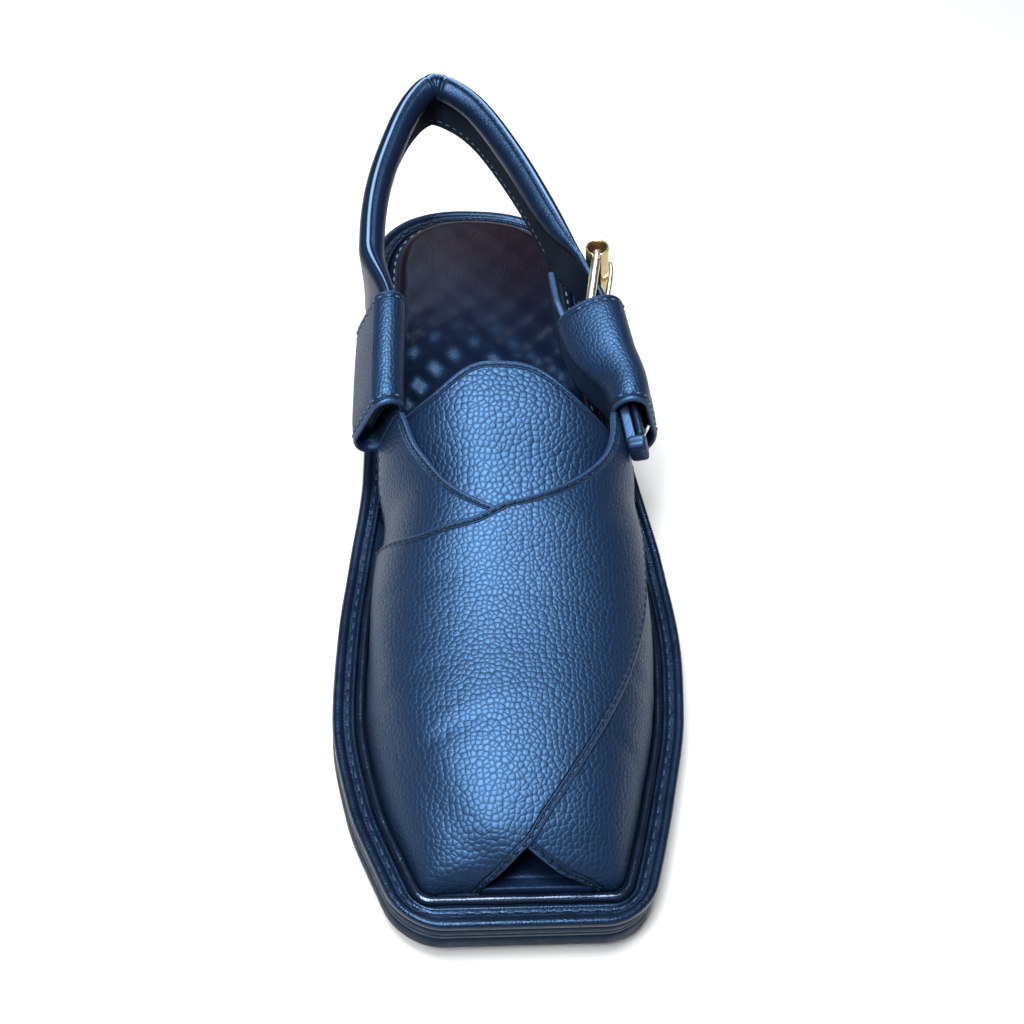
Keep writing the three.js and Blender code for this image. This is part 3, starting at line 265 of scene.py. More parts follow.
LENGTH, BALL_WIDTH = 300.0, 112.5
GAP, CURVED_GAP = 0.3, 0.5
TOE_RADIUS, TOE_INNER_RADIUS = 12.0, 2.6
HEEL_RADIUS, HEEL_SQUARE = 41.0, 2.4
TOE_SPRING, HEEL_LIFT = 5.0, 12.5
OUTSOLE, MIDSOLE, WELT, WELT_WIDTH = 5.5, 5.5, 3.1, 6.9
FOOTBED, HEEL_PAD = 3.0, 3.4
WELT_FOOT = OUTSOLE + MIDSOLE + 2 * GAP
PLATEAU = WELT_FOOT + WELT - 2.2
SEAT = PLATEAU + GAP
PAD_FOOT = SEAT + FOOTBED + GAP
RAND_RADIUS = 1.35
CHANNEL = WELT_WIDTH + GAP
RAND_MIDDLE = CHANNEL + RAND_RADIUS
STRAP_WALL, TONGUE_WALL, TONGUE_GAP, SLEEVE_WALL = 2.2, 1.8, 0.9, 1.9
SEAM_IN = 2.3
UPPER_INNER = RAND_MIDDLE + RAND_RADIUS + CURVED_GAP + STRAP_WALL
FOOTBED_INSET = UPPER_INNER + CURVED_GAP
INSTEP, RIDGE_SHIFT = 60.0, -2.0
SLEEVE_SINK, STRAP_SINK = 0.1, 0.7
LIFT_GIRTH, LIFT_AT = 0.34, 0.05
OUTLINE_COUNTS = (14, 150, 48)


def along(at: Array) -> Array:
    """Distance along the shoe, in mm from its middle, at a share of its length."""
    return (np.asarray(at, float) - 0.5) * LENGTH


def share(y: Array) -> Array:
    """Share of the length at a distance along the shoe."""
    return np.asarray(y, float) / LENGTH + 0.5


def underside(y: Array) -> Array:
    """Height of the sole's underside: toe spring and heel lift by their own shares."""
    at = share(y)
    return TOE_SPRING * UNDERSIDE.read("toe", at) + HEEL_LIFT * UNDERSIDE.read("heel", at)


def half_width(side: Array, y: Array) -> Array:
    """Half width of the sole's rim on the inner (-1) or outer (1) side."""
    at = share(y)
    return BALL_WIDTH * np.where(side < 0, OUTLINE.read("inner", at), OUTLINE.read("outer", at))


def side_run(side: int, inset: float | Inset, start: float = 0.0, radius: float = TOE_RADIUS,
             counts: tuple[int, int, int] = OUTLINE_COUNTS) -> Array:
    """Runs down one side of the sole, from the front edge to the middle of the heel.

    A quarter circle rounds the front corner, the outline's table gives the side, and a
    superellipse closes the heel. Every place is drawn in by the inset.

    Args:
        side: -1 for the inner side, 1 for the outer.
        inset: function of (side, y) or a number, in mm.
        start: share of the length where the run begins.
        radius: radius of the front corner before the inset.
        counts: points on the corner, the side and the heel.

    Returns:
        Places as an array of (x, y).
    """
    def draw(way: int, y: Array) -> Array:
        """The inset at a place, whether it is a function or a number."""
        return inset(way, y) if callable(inset) else np.full_like(np.asarray(y, float), inset)

    toe = float(draw(side, np.array(along(start))))
    corner = max(TOE_INNER_RADIUS, radius - toe)
    front = along(start) + toe
    turn = np.linspace(0, math.pi / 2, counts[0], endpoint=False)
    y0 = front + corner * (1 - np.cos(turn))
    x0 = half_width(side, y0) - toe - corner * (1 - np.sin(turn))
    heel_start = along(1) - HEEL_RADIUS
    y1 = np.linspace(front + corner, heel_start, counts[1], endpoint=False)
    x1 = half_width(side, y1) - draw(side, y1)
    turn = np.linspace(0, math.pi / 2, counts[2])
    depth = HEEL_RADIUS - float(draw(side, np.array(along(1))))
    y2 = heel_start + depth * np.sin(turn) ** (2 / HEEL_SQUARE)
    x2 = (half_width(side, y2) - draw(side, y2)) * np.maximum(np.cos(turn), 0) ** (2 / HEEL_SQUARE)
    x = np.concatenate([x0, x1, x2])
    return np.stack([side * x, np.concatenate([y0, y1, y2])], -1)


def once_round(inset: float | Inset, start: float = 0.0, radius: float = TOE_RADIUS,
               counts: tuple[int, int, int] = OUTLINE_COUNTS) -> Array:
    """The outline, drawn in, down the inner side and back up the outer.

    Args:
        inset: function of (side, y) or a number, in mm.
        start: share of the length where it begins.
        radius: radius of the front corners before the inset.
        counts: points on corner, side and heel.

    Returns:
        Places as an array of (x, y), the middle of the heel once.
    """
    inner, outer = [side_run(side, inset, start, radius, counts) for side in (-1, 1)]
    return np.vstack([inner, outer[-2::-1]])


def over_sole(flat: Array, height: Array) -> Array:
    """Places of an outline at a height over the sole's underside."""
    return np.column_stack([flat, underside(flat[:, 1]) + height])


def last_half(side: Array, y: Array) -> Array:
    """Half width of the last at its seat: the rim drawn in, the toe corner rounded, plus splay.

    Args:
        side: -1 for the inner side, 1 for the outer.
        y: distance along the shoe.

    Returns:
        Half widths in mm.
    """
    at = share(y)
    corner = max(TOE_INNER_RADIUS, TOE_RADIUS - UPPER_INNER)
    front = np.clip((along(0) + UPPER_INNER + corner - y) / corner, 0, 1)
    drawn = half_width(side, y) - UPPER_INNER - corner * (1 - np.sqrt(1 - front * front))
    splay = np.where(side < 0, LAST.read("splay_in", at), LAST.read("splay_out", at))
    return drawn + BALL_WIDTH * splay


def last_point(girth: Array, y: Array) -> Array:
    """Point of the last: a superellipse section from the seat over the ridge.

    Args:
        girth: -1 at the inner foot, 0 on the ridge, 1 at the outer foot.
        y: distance along the shoe.

    Returns:
        Points, one for each pair.
    """
    girth, y = np.broadcast_arrays(np.asarray(girth, float), np.asarray(y, float))
    side = np.where(girth < 0, -1, 1)
    turn = np.minimum(np.abs(girth), 1) * math.pi / 2
    at = share(y)
    power = 2 / np.where(side < 0, LAST.read("inner", at), LAST.read("outer", at))
    reach = last_half(side, y) - side * RIDGE_SHIFT
    x = RIDGE_SHIFT + side * reach * np.sin(turn) ** power
    z = INSTEP * LAST.read("height", at) * np.maximum(np.cos(turn), 0) ** power
    return np.stack([x, y, underside(y) + SEAT + z], -1)


def last_normal(girth: Array, y: Array) -> Array:
    """Outward normal of the last, from the slope of (x / reach)^n + (z / rise)^n.

    Args:
        girth: -1 at the inner foot, 0 on the ridge, 1 at the outer foot.
        y: distance along the shoe.

    Returns:
        Vectors of length one, one for each pair.
    """
    p = last_point(girth, y)
    side = np.where(np.broadcast_to(girth, p.shape[:-1]) < 0, -1, 1)
    seat = underside(p[..., 1]) + SEAT

    def level(x: Array, yy: Array, z: Array) -> Array:
        """The section's own equation at a place.

        Args:
            x: place across.
            yy: place along.
            z: height.

        Returns:
            One on the last, more outside it.
        """
        at = share(yy)
        n = np.where(side < 0, LAST.read("inner", at), LAST.read("outer", at))
        reach = np.maximum(last_half(side, yy) - side * RIDGE_SHIFT, 0.5)
        rise = np.maximum(INSTEP * LAST.read("height", at), 0.2)
        away = np.maximum(side * (x - RIDGE_SHIFT), 0) / reach
        return away**n + (np.maximum(z - underside(yy) - SEAT, 0) / rise) ** n

    h = 0.05
    x, z = p[..., 0], p[..., 2]
    yy = np.maximum(p[..., 1], along(0) + UPPER_INNER + 2 * h)
    return unit(np.stack([
        level(x + h, yy, z) - level(x - h, yy, z),
        level(x, yy + h, z) - level(x, yy - h, z),
        level(x, yy, z + h) - level(x, yy, np.maximum(z - h, seat)),
    ], -1))


def on_last(girth: Array, y: Array, off: Array) -> Array:
    """Point that lies off the last by a distance along its normal."""
    return last_point(girth, y) + last_normal(girth, y) * np.asarray(off)[..., None]


CHART_ROUND, CHART_LONG = 240, 220
CHART_ENDS = (0.0412, 0.72)


@dataclass(frozen=True)
class LastChart:
    """The last laid flat: arc length round the girth from the ridge, and along the shoe."""

    ys: Array
    around: Array
    down: Array

    @staticmethod
    def made() -> "LastChart":
        """Sums the steps between the points of a fine grid on the last, both ways.

        Returns:
            The chart.
        """
        girths = np.linspace(-1, 1, CHART_ROUND + 1)
        ys = np.linspace(*along(CHART_ENDS), CHART_LONG + 1)
        points = last_point(girths[:, None], ys[None])
        around = arc_length(points, 0)
        return LastChart(ys, around - around[CHART_ROUND // 2], arc_length(points, 1))

    def read(self, girth: Array, y: Array) -> tuple[Array, Array]:
        """Both lengths at a place, mixed from the four nearest points of the grid.

        Args:
            girth: place round the last.
            y: distance along the shoe.

        Returns:
            Lengths round and along, in mm.
        """
        short = 0.001
        i = np.clip((girth + 1) / 2 * CHART_ROUND, 0, CHART_ROUND - short)
        j = np.clip((y - self.ys[0]) / (self.ys[-1] - self.ys[0]) * CHART_LONG, 0, CHART_LONG - short)
        i0, j0 = i.astype(int), j.astype(int)
        a, b = i - i0, j - j0

        def mixed(t: Array) -> Array:
            """One of the lengths, from its four nearest points."""
            return mix(mix(t[i0, j0], t[i0 + 1, j0], a), mix(t[i0, j0 + 1], t[i0 + 1, j0 + 1], a), b)

        return mixed(self.around), mixed(self.down)


CHART = LastChart.made()


def edge_round(distance: Array, radius: float) -> Array:
    """Quarter circle from 0 at an edge to 1 at a radius in: root of 1 - (1 - d / r)^2."""
    return np.sqrt(np.maximum(1 - (1 - np.clip(distance / radius, 0, 1)) ** 2, 0))


def nearest(points: Array, *lines: Array) -> Array:
    """Distance from points to the nearest point of some lines.

    Args:
        points: places, shape (..., 3).
        lines: points along each edge, close together.

    Returns:
        Distances, shaped like the places.
    """
    flat = points.reshape(-1, 3)
    squares = [(flat**2).sum(1) + ((line**2).sum(1)[None] - 2 * flat @ line.T).min(1) for line in lines]
    return np.sqrt(np.maximum(np.min(squares, axis=0), 0)).reshape(points.shape[:-1])


def border(grid: Array) -> tuple[Array, Array, Array, Array]:
    """The four edges of a grid of points."""
    return grid[0], grid[-1], grid[:, 0], grid[:, -1]


SAME_PLACE, NO_LENGTH = 2e-6, 1e-7


def placed(name: str, data: bpy.types.ID) -> bpy.types.Object:
    """Puts a new object in the scene.

    Args:
        name: name of the object.
        data: its mesh, light or camera.

    Returns:
        The object.
    """
    made = bpy.data.objects.new(name, data)
    bpy.context.scene.collection.objects.link(made)
    return made


@dataclass
class Surface:
    """Points in mm on the sole's axis, faces of four corners, and named values of the points."""

    points: Array
    faces: Array
    values: dict[str, Array] = field(default_factory=dict)

    @staticmethod
    def grid(points: Array, values: dict[str, Array] | None = None, turned: bool = False,
             ring_rows: bool = False, ring_columns: bool = False) -> "Surface":
        """Joins a grid of points with four-cornered faces.

        Args:
            points: grid of shape (rows, columns, 3).
            values: values of the same grid.
            turned: whether the faces look the other way.
            ring_rows: whether the last row joins the first.
            ring_columns: whether the last column joins the first.

        Returns:
            The surface.
        """
        n, m = points.shape[:2]
        index = np.arange(n * m).reshape(n, m)
        if ring_rows:
            index = np.vstack([index, index[:1]])
        if ring_columns:
            index = np.hstack([index, index[:, :1]])
        quads = np.stack([index[:-1, :-1], index[1:, :-1], index[1:, 1:], index[:-1, 1:]], -1)
        quads = quads.reshape(-1, 4)
        named = {k: np.broadcast_to(v, (n, m)).reshape(-1) for k, v in (values or {}).items()}
        return Surface(points.reshape(-1, 3), quads[:, ::-1] if turned else quads, named)

    @staticmethod
    def sheet(outer: Array, inner: Array, values: dict[str, Array] | None = None) -> "Surface":
        """Two skins of the same values that meet at their borders.

        Args:
            outer: grid of the outer skin.
            inner: grid of the inner skin, whose faces look the other way.
            values: values of both grids.

        Returns:
            The surface.
        """
        return Surface.joined([Surface.grid(outer, values), Surface.grid(inner, values, turned=True)])

    @staticmethod
    def joined(parts: list["Surface"]) -> "Surface":
        """Puts surfaces into one, their values with them.

        Args:
            parts: surfaces; a value that one lacks is nought there.

        Returns:
            The surface.
        """
        starts = np.cumsum([0] + [len(p.points) for p in parts[:-1]])
        names = {k for p in parts for k in p.values}
        values = {k: np.concatenate([p.values.get(k, np.zeros(len(p.points))) for p in parts])
                  for k in sorted(names)}
        faces = np.vstack([p.faces + s for p, s in zip(parts, starts)])
        return Surface(np.vstack([p.points for p in parts]), faces, values)

    def piece(self, name: str, finish: "Finish", slot: str,
              replaced: tuple[str, ...] = ()) -> bpy.types.Object:
        """Makes the closed object, dressed and set on the shoe.

        Doubles are merged, empty faces dropped and the faces turned outwards.

        Args:
            name: name of the piece.
            finish: what it is made of.
            slot: material slot of the record; not used.
            replaced: CAD nodes that it stands for.

        Returns:
            The object.
        """
        mesh = bpy.data.meshes.new(name)
        places = (self.points + AXIS_SHIFT) * MM
        mesh.from_pydata(places.tolist(), [], self.faces.tolist())
        for key, value in self.values.items():
            store = mesh.attributes.new(key, "FLOAT", "POINT")
            store.data.foreach_set("value", np.ascontiguousarray(value, np.float32))
        work = bmesh.new()
        work.from_mesh(mesh)
        bmesh.ops.remove_doubles(work, verts=work.verts, dist=SAME_PLACE)
        bmesh.ops.dissolve_degenerate(work, edges=work.edges, dist=NO_LENGTH)
        bmesh.ops.recalc_face_normals(work, faces=work.faces)
        work.to_mesh(mesh)
        work.free()
        mesh.shade_smooth()
        made = placed(name, mesh)
        mesh.materials.append(finish.material())
        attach(made, BODY)
        if replaced:
            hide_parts(*replaced)
        LOG.info("%s: %d faces", name, len(mesh.polygons))
        return made


def layer(profile: list[tuple[object, Array]], start: float = 0.0, radius: float = TOE_RADIUS,
          from_floor: int = 0, counts: tuple[int, int, int] = OUTLINE_COUNTS) -> Surface:
    """A layer of the sole: insets and heights carried round the outline, closed above and below.

    Args:
        profile: pairs of inset and height over the underside, from the foot up.
        start: share of the length where the layer begins.
        radius: radius of its front corners.
        from_floor: how many of the first pairs are measured from the floor.
        counts: points on corner, side and heel.

    Returns:
        The closed surface.
    """
    rings = []
    for k, (inset, height) in enumerate(profile):
        flat = once_round(inset, start, radius, counts)
        base = 0 if k < from_floor else underside(flat[:, 1])
        rings.append(np.column_stack([flat, base + height + np.zeros(len(flat))]))
    rings = np.array(rings)
    parts = [Surface.grid(rings, ring_columns=True)]
    n = sum(counts)
    for ring in (rings[0], rings[-1]):
        parts.append(Surface.grid(np.stack([ring[:n], back_side(ring, n)])))
    return Surface.joined(parts)


def back_side(ring: Array, count: int) -> Array:
    """The outer side of a ring, from the toe to the heel."""
    outer = ring[count:][::-1]
    return np.vstack([outer, ring[count - 1:count]])


def band(profile: Array, counts: tuple[int, int, int] = OUTLINE_COUNTS) -> Surface:
    """A closed profile of insets and heights carried all the way round the sole.

    Args:
        profile: rows of inset and height over the underside.
        counts: points on corner, side and heel.

    Returns:
        The surface, closed both ways.
    """
    rings = [over_sole(once_round(inset, counts=counts), height) for inset, height in profile]
    return Surface.grid(np.array(rings), ring_rows=True, ring_columns=True)


def softened(rows: list[tuple[float, float]], closed: bool, count: int) -> Array:
    """A smooth curve through a few places of a profile, spaced evenly along its length.

    Args:
        rows: places of the profile.
        closed: whether the last joins the first.
        count: how many points to give back.

    Returns:
        Rows of the curve.
    """
    rows = np.array(rows, float)
    if closed:
        rows = np.vstack([rows, rows[:1]])
    points = flow(rows, count * 6)
    run = arc_length(points, 0)
    goal = np.linspace(0, run[-1], count + 1 if closed else count)
    even = sampled(points, run, goal)
    return even[:-1] if closed else even


def flow(points: Array, count: int, places: Array | None = None) -> Array:
    """Curve through points: cubics whose slopes come from the neighbours' spacing.

    Each stretch uses the roots of the chord lengths as its spacing, so it never loops, and the
    end stretches are carried on straight.

    Args:
        points: the places to pass through.
        count: how many points to give back.
        places: shares of the curve from 0 to 1, if they aren't even.

    Returns:
        Points on the curve.
    """
    pts = np.vstack([2 * points[0] - points[1], points, 2 * points[-1] - points[-2]])
    t = (np.linspace(0, 1, count) if places is None else places) * (len(points) - 1)
    i = np.minimum(t.astype(int), len(points) - 2)
    w = (t - i)[:, None]
    p0, p1, p2, p3 = pts[i], pts[i + 1], pts[i + 2], pts[i + 3]

    def root(a: Array, b: Array) -> Array:
        """Root of the way from one place to the next."""
        return np.sqrt(np.maximum(np.linalg.norm(b[:, :3] - a[:, :3], axis=1), 1e-9))[:, None]

    d0, d1, d2 = root(p0, p1), root(p1, p2), root(p2, p3)
    m1 = d1 * ((p1 - p0) / d0 - (p2 - p0) / (d0 + d1) + (p2 - p1) / d1)
    m2 = d1 * ((p2 - p1) / d1 - (p3 - p1) / (d1 + d2) + (p3 - p2) / d2)
    w2, w3 = w * w, w * w * w
    return ((2 * w3 - 3 * w2 + 1) * p1 + (w3 - 2 * w2 + w) * m1
            + (3 * w2 - 2 * w3) * p2 + (w3 - w2) * m2)


def stitches(path: Array, normal: Array, pitch: float, length: float, width: float) -> Surface:
    """A row of short threads laid along a path: a pod of six sides at every pitch.

    Args:
        path: points of the row.
        normal: way out of the leather, one or one for each point.
        pitch: from one stitch to the next.
        length: length of a stitch.
        width: its thickness.

    Returns:
        All the stitches in one surface.
    """
    run = arc_length(path, 0)
    places = np.arange(pitch, run[-1] - pitch / 2, pitch)
    normal = np.broadcast_to(normal, path.shape)
    middle, out = sampled(path, run, places), unit(sampled(normal, run, places))
    ahead = unit(sampled(path, run, places + 0.5) - sampled(path, run, places - 0.5))
    side = unit(np.cross(out, ahead))
    sides = 6
    step = np.linspace(-1, 1, sides)
    swell = np.sqrt(np.maximum(1 - np.abs(step) ** 3, 0))
    turn = full_turn(sides)
    pod = (step[:, None, None, None] * ahead * length / 2
           + swell[:, None, None, None] * width / 2 * (
               np.cos(turn)[None, :, None, None] * side + np.sin(turn)[None, :, None, None] * out * 0.7))
    grids = np.moveaxis(middle + pod, 2, 0)
    one = Surface.grid(grids[0], ring_columns=True)
    faces = one.faces[None] + (np.arange(len(grids)) * sides**2)[:, None, None]
    return Surface(grids.reshape(-1, 3), faces.reshape(-1, 4))


class Nodes:
    """A short way to write a material's nodes."""

    def __init__(self, name: str) -> None:
        """Starts an empty material with its surface shader.

        Args:
            name: name of the material.
        """
        self.material = bpy.data.materials.new(name)
        self.material.use_nodes = True
        self.tree = self.material.node_tree
        self.tree.nodes.clear()
        self.shader = self.tree.nodes.new("ShaderNodeBsdfPrincipled")
        output = self.tree.nodes.new("ShaderNodeOutputMaterial")
        self.tree.links.new(self.shader.outputs[0], output.inputs["Surface"])

    def put(self, socket: bpy.types.NodeSocket, value: object) -> None:
        """Links a socket to another, or sets it to a number or colour.

        Args:
            socket: socket to feed.
            value: another socket, a number or a colour.
        """
        if isinstance(value, bpy.types.NodeSocket):
            self.tree.links.new(value, socket)
        else:
            socket.default_value = value

    def feed(self, node: bpy.types.Node, **values: object) -> bpy.types.Node:
        """Feeds a node's sockets.

        Args:
            node: the node.
            values: links, numbers or colours by the sockets' names, spaces as underscores.

        Returns:
            The same node.
        """
        for key, value in values.items():
            self.put(node.inputs[key.replace("_", " ")], value)
        return node

    def add(self, kind: str, **values: object) -> bpy.types.Node:
        """Adds a shader node of a kind and feeds its sockets."""
        return self.feed(self.tree.nodes.new("ShaderNode" + kind), **values)

    def set(self, **values: object) -> None:
        """Sets the surface shader's sockets."""
        self.feed(self.shader, **values)

    def place(self) -> bpy.types.NodeSocket:
        """The piece's own coordinates, in metres."""
        return self.add("TexCoord").outputs["Object"]

    def value(self, name: str) -> bpy.types.NodeSocket:
        """A named value of the mesh.

        Args:
            name: the value's name.

        Returns:
            Its socket.
        """
        node = self.add("Attribute")
        node.attribute_name = name
        return node.outputs["Fac"]

    def noise(self, scale: float, detail: float = 3) -> bpy.types.NodeSocket:
        """Soft noise in space, scale in waves a metre.

        Args:
            scale: waves a metre.
            detail: how many finer waves are added.

        Returns:
            Socket from 0 to 1.
        """
        return self.add("TexNoise", Vector=self.place(), Scale=scale, Detail=detail).outputs["Fac"]

    def math(self, kind: str, a: object, b: object = 0.0, clamp: bool = False) -> bpy.types.NodeSocket:
        """One step of arithmetic.

        Args:
            kind: name of the operation.
            a: first socket or number.
            b: second one.
            clamp: whether the result is kept from 0 to 1.

        Returns:
            Socket of the result.
        """
        node = self.add("Math")
        node.operation = kind
        node.use_clamp = clamp
        self.put(node.inputs[0], a)
        self.put(node.inputs[1], b)
        return node.outputs[0]

    def ramp(self, value: object, low: float, high: float, start: float = 0,
             end: float = 1) -> bpy.types.NodeSocket:
        """Smooth climb from start to end as the value goes from low to high.

        Args:
            value: socket that is read.
            low: where the climb starts.
            high: where it ends.
            start: result at the low end.
            end: result at the high end.

        Returns:
            Socket of the result.
        """
        node = self.add("MapRange", Value=value, From_Min=low, From_Max=high, To_Min=start, To_Max=end)
        node.interpolation_type = "SMOOTHSTEP"
        return node.outputs[0]

    def near(self, value: object, middle: float, width: float) -> bpy.types.NodeSocket:
        """One at the middle, falling to nought a width away on both sides."""
        away = self.math("ABSOLUTE", self.math("SUBTRACT", value, middle))
        return self.ramp(away, 0, width, 1, 0)

    def blend(self, share_of: object, first: object, second: object) -> bpy.types.NodeSocket:
        """Colour between two by a share.

        Args:
            share_of: how much of the second.
            first: colour or socket.
            second: colour or socket.

        Returns:
            Socket of the colour.
        """
        node = self.add("Mix")
        node.data_type = "RGBA"
        self.put(node.inputs[0], share_of)
        self.put(node.inputs[6], first)
        self.put(node.inputs[7], second)
        return node.outputs[2]

    def chart(self) -> bpy.types.NodeSocket:
        """The leather laid flat, by the values around and down, in metres.

        Returns:
            Socket of the place on the flat leather.
        """
        x, y = [self.math("MULTIPLY", self.value(name), MM) for name in ("around", "down")]
        return self.add("CombineXYZ", X=x, Y=y).outputs[0]

    def cells(self, size: float, wander: float, where: object = None, flat: bool = False,
              spread: float = 1.0, feature: str = "DISTANCE_TO_EDGE") -> bpy.types.NodeSocket:
        """Distance to the edge, or from the middle, of pebbles whose edges are bent by noise.

        Args:
            size: size of a pebble in metres.
            wander: how far the edges are bent, in metres.
            where: socket of the place, or the piece's own coordinates.
            flat: whether the pebbles lie in a plane.
            spread: how unevenly they lie.
            feature: which distance is given.

        Returns:
            Socket of the distance.
        """
        where = where or self.place()
        bend = self.add("TexNoise", Vector=where, Scale=0.5 / size)
        offset = self.add("VectorMath")
        offset.operation = "MULTIPLY_ADD"
        self.put(offset.inputs[0], bend.outputs["Color"])
        offset.inputs[1].default_value = (wander, wander, wander)
        self.put(offset.inputs[2], where)
        node = self.add("TexVoronoi")
        node.voronoi_dimensions = "2D" if flat else "3D"
        node.feature = feature
        self.feed(node, Vector=offset.outputs[0], Scale=1 / size, Randomness=spread)
        return node.outputs["Distance"]

    def bump(self, height: object, depth: float, strength: float = 1.0,
             under: object = None) -> bpy.types.NodeSocket:
        """Bump of a height from 0 to 1 that stands for a depth in metres.

        Args:
            height: socket from 0 to 1.
            depth: what one stands for, in metres.
            strength: how much of it is felt.
            under: a bump that lies below, or none.

        Returns:
            Socket of the normal.
        """
        node = self.add("Bump", Strength=strength, Distance=depth, Height=height)
        if under is not None:
            self.put(node.inputs["Normal"], under)
        return node.outputs[0]


class Finish:
    """What a piece is made of. Each kind makes its material once."""

    made: dict[object, bpy.types.Material] = {}

    def material(self) -> bpy.types.Material:
        """The material, made the first time it is asked for.

        Returns:
            The material.
        """
        if self not in Finish.made:
            Finish.made[self] = self.build()
        return Finish.made[self]

    def build(self) -> bpy.types.Material:
        """Makes the material's nodes.

        Returns:
            The material.
        """
        raise NotImplementedError


def darker(colour: Colour, keep: float) -> Colour:
    """A colour at a share of its brightness."""
    return tuple(keep * c for c in colour[:3]) + (1,)


@dataclass(frozen=True)
class PebbledLeather(Finish):
    """Tumbled leather: rounded pebbles with painted shade in the creases between them, and a folded,
    stitched edge with a painted highlight along it.

    Values of the mesh: edge, mm from the nearest free edge; around and down, the leather's own
    lengths, by which the pebbles lie on it.
    """

    pebble: float = 0.0016
    depth: float = 0.00018
    skin: Colour = (0.0018, 0.0050, 0.0150, 1)
    # Painted shade: the dark colour given to the crevices between pebbles, the stitch groove and the fold
    # line.
    crease: Colour = (0.0005, 0.0009, 0.0024, 1)
    # Painted highlight: the lighter colour along the rounded, folded edge.
    edge_highlight: Colour = (0.013, 0.024, 0.050, 1)
    seam_at: float = SEAM_IN

    def build(self) -> bpy.types.Material:
        """Pebbles by a cell pattern, grain by noise, edge and groove by the distance in; painted shade in
        the creases, the groove and the fold line, and a painted highlight along the edge.

        Returns:
            The material.
        """
        n = Nodes("pebbled_leather_" + str(round(self.pebble * 1e4)))
        where = n.chart()
        far = n.cells(self.pebble, self.pebble * 0.45, where, True, 0.85)
        out = n.cells(self.pebble, self.pebble * 0.45, where, True, 0.85, "F1")
        dome = n.math("SUBTRACT", 1.0, n.math("MULTIPLY", n.math("MULTIPLY", out, out), 1.5), True)
        cut = n.ramp(far, 0.0, 0.26)
        grain = n.noise(2400, 2)
        edge = n.value("edge")
        groove = n.near(edge, self.seam_at, 0.55)
        lip = n.ramp(edge, 0.6, 1.0, 1, 0)
        line = n.near(edge, 1.45, 0.42)
        flat = n.math("MAXIMUM", n.ramp(edge, 1.0, 1.5, 1, 0), groove)
        height = n.math("ADD", n.math("MULTIPLY", dome, 0.7), n.math("MULTIPLY", cut, 0.3))
        height = n.math("MULTIPLY", height, n.math("SUBTRACT", 1.0, n.math("MULTIPLY", flat, 0.75)))
        pebbles = n.bump(height, self.depth, 0.8)
        sewn = n.bump(n.math("SUBTRACT", 1.0, n.math("MAXIMUM", groove, line)), 0.00045, 0.8, pebbles)
        # Painted shade in the crevices: colour goes from the skin towards the dark crease colour at the
        # pebbles' edges.
        colour = n.blend(n.ramp(cut, 0, 1, 0.65, 1), self.crease, self.skin)
        cloud = n.ramp(n.noise(55, 2), 0.3, 0.75, 0.0, 0.35)
        colour = n.blend(cloud, colour, darker(self.skin, 0.6))
        # Painted shade in the stitch groove and in the fold line 1.45 mm in from the edge.
        shade = n.math("MAXIMUM", n.math("MULTIPLY", groove, 0.25), n.math("MULTIPLY", line, 0.8))
        colour = n.blend(shade, colour, self.crease)
        # Painted highlight along the folded edge, strongest within 0.6 mm of it.
        colour = n.blend(n.math("MULTIPLY", lip, 0.6), colour, self.edge_highlight)
        n.set(Base_Color=colour, Roughness=n.ramp(cut, 0, 1, 0.54, 0.43),
              Normal=n.bump(grain, 0.00005, 0.5, sewn), Specular_IOR_Level=0.66,
              Specular_Tint=(0.26, 0.54, 1, 1))
        return n.material


@dataclass(frozen=True)
class SmoothLeather(Finish):
    """Glossy fine-grained leather, with a painted highlight on a welted ridge and painted shade in the
    groove beside it, where the mesh says so.
    """

    skin: Colour = (0.0020, 0.0042, 0.0105, 1)
    lining: Colour = (0.0010, 0.0009, 0.0009, 1)

    def build(self) -> bpy.types.Material:
        """Fine pores, a painted highlight line and a painted shade groove by values of the mesh, and the
        lining by the value lined.

        Returns:
            The material.
        """
        n = Nodes("smooth_leather")
        pores = n.ramp(n.cells(0.0009, 0.0005), 0, 0.25)
        piping = n.value("piping")
        colour = n.blend(n.value("lined"), self.skin, self.lining)
        # Painted highlight: a pale bluish line along the welted ridge of the roll.
        colour = n.blend(n.ramp(piping, 0.25, 0.9, 0, 0.75), colour, (0.11, 0.17, 0.27, 1))
        # Painted shade: the groove beside the welted ridge is darkened almost to black.
        colour = n.blend(n.ramp(n.value("groove"), 0.2, 0.9, 0, 0.9), colour, (0.001, 0.002, 0.004, 1))
        rough = n.ramp(n.noise(140), 0.3, 0.7, 0.3, 0.4)
        rough = n.math("ADD", rough, n.math("MULTIPLY", n.value("lined"), 0.4))
        n.set(Base_Color=colour, Roughness=rough,
              Normal=n.bump(pores, 0.00006, 0.6, n.bump(n.noise(45, 2), 0.0007, 0.2)),
              Specular_IOR_Level=0.28, Specular_Tint=(0.25, 0.52, 1, 1), Coat_Weight=0.02,
              Coat_Roughness=0.2)
        return n.material


NAVY, RED_BROWN = (0.0011, 0.0032, 0.0100, 1), (0.0062, 0.0017, 0.0024, 1)


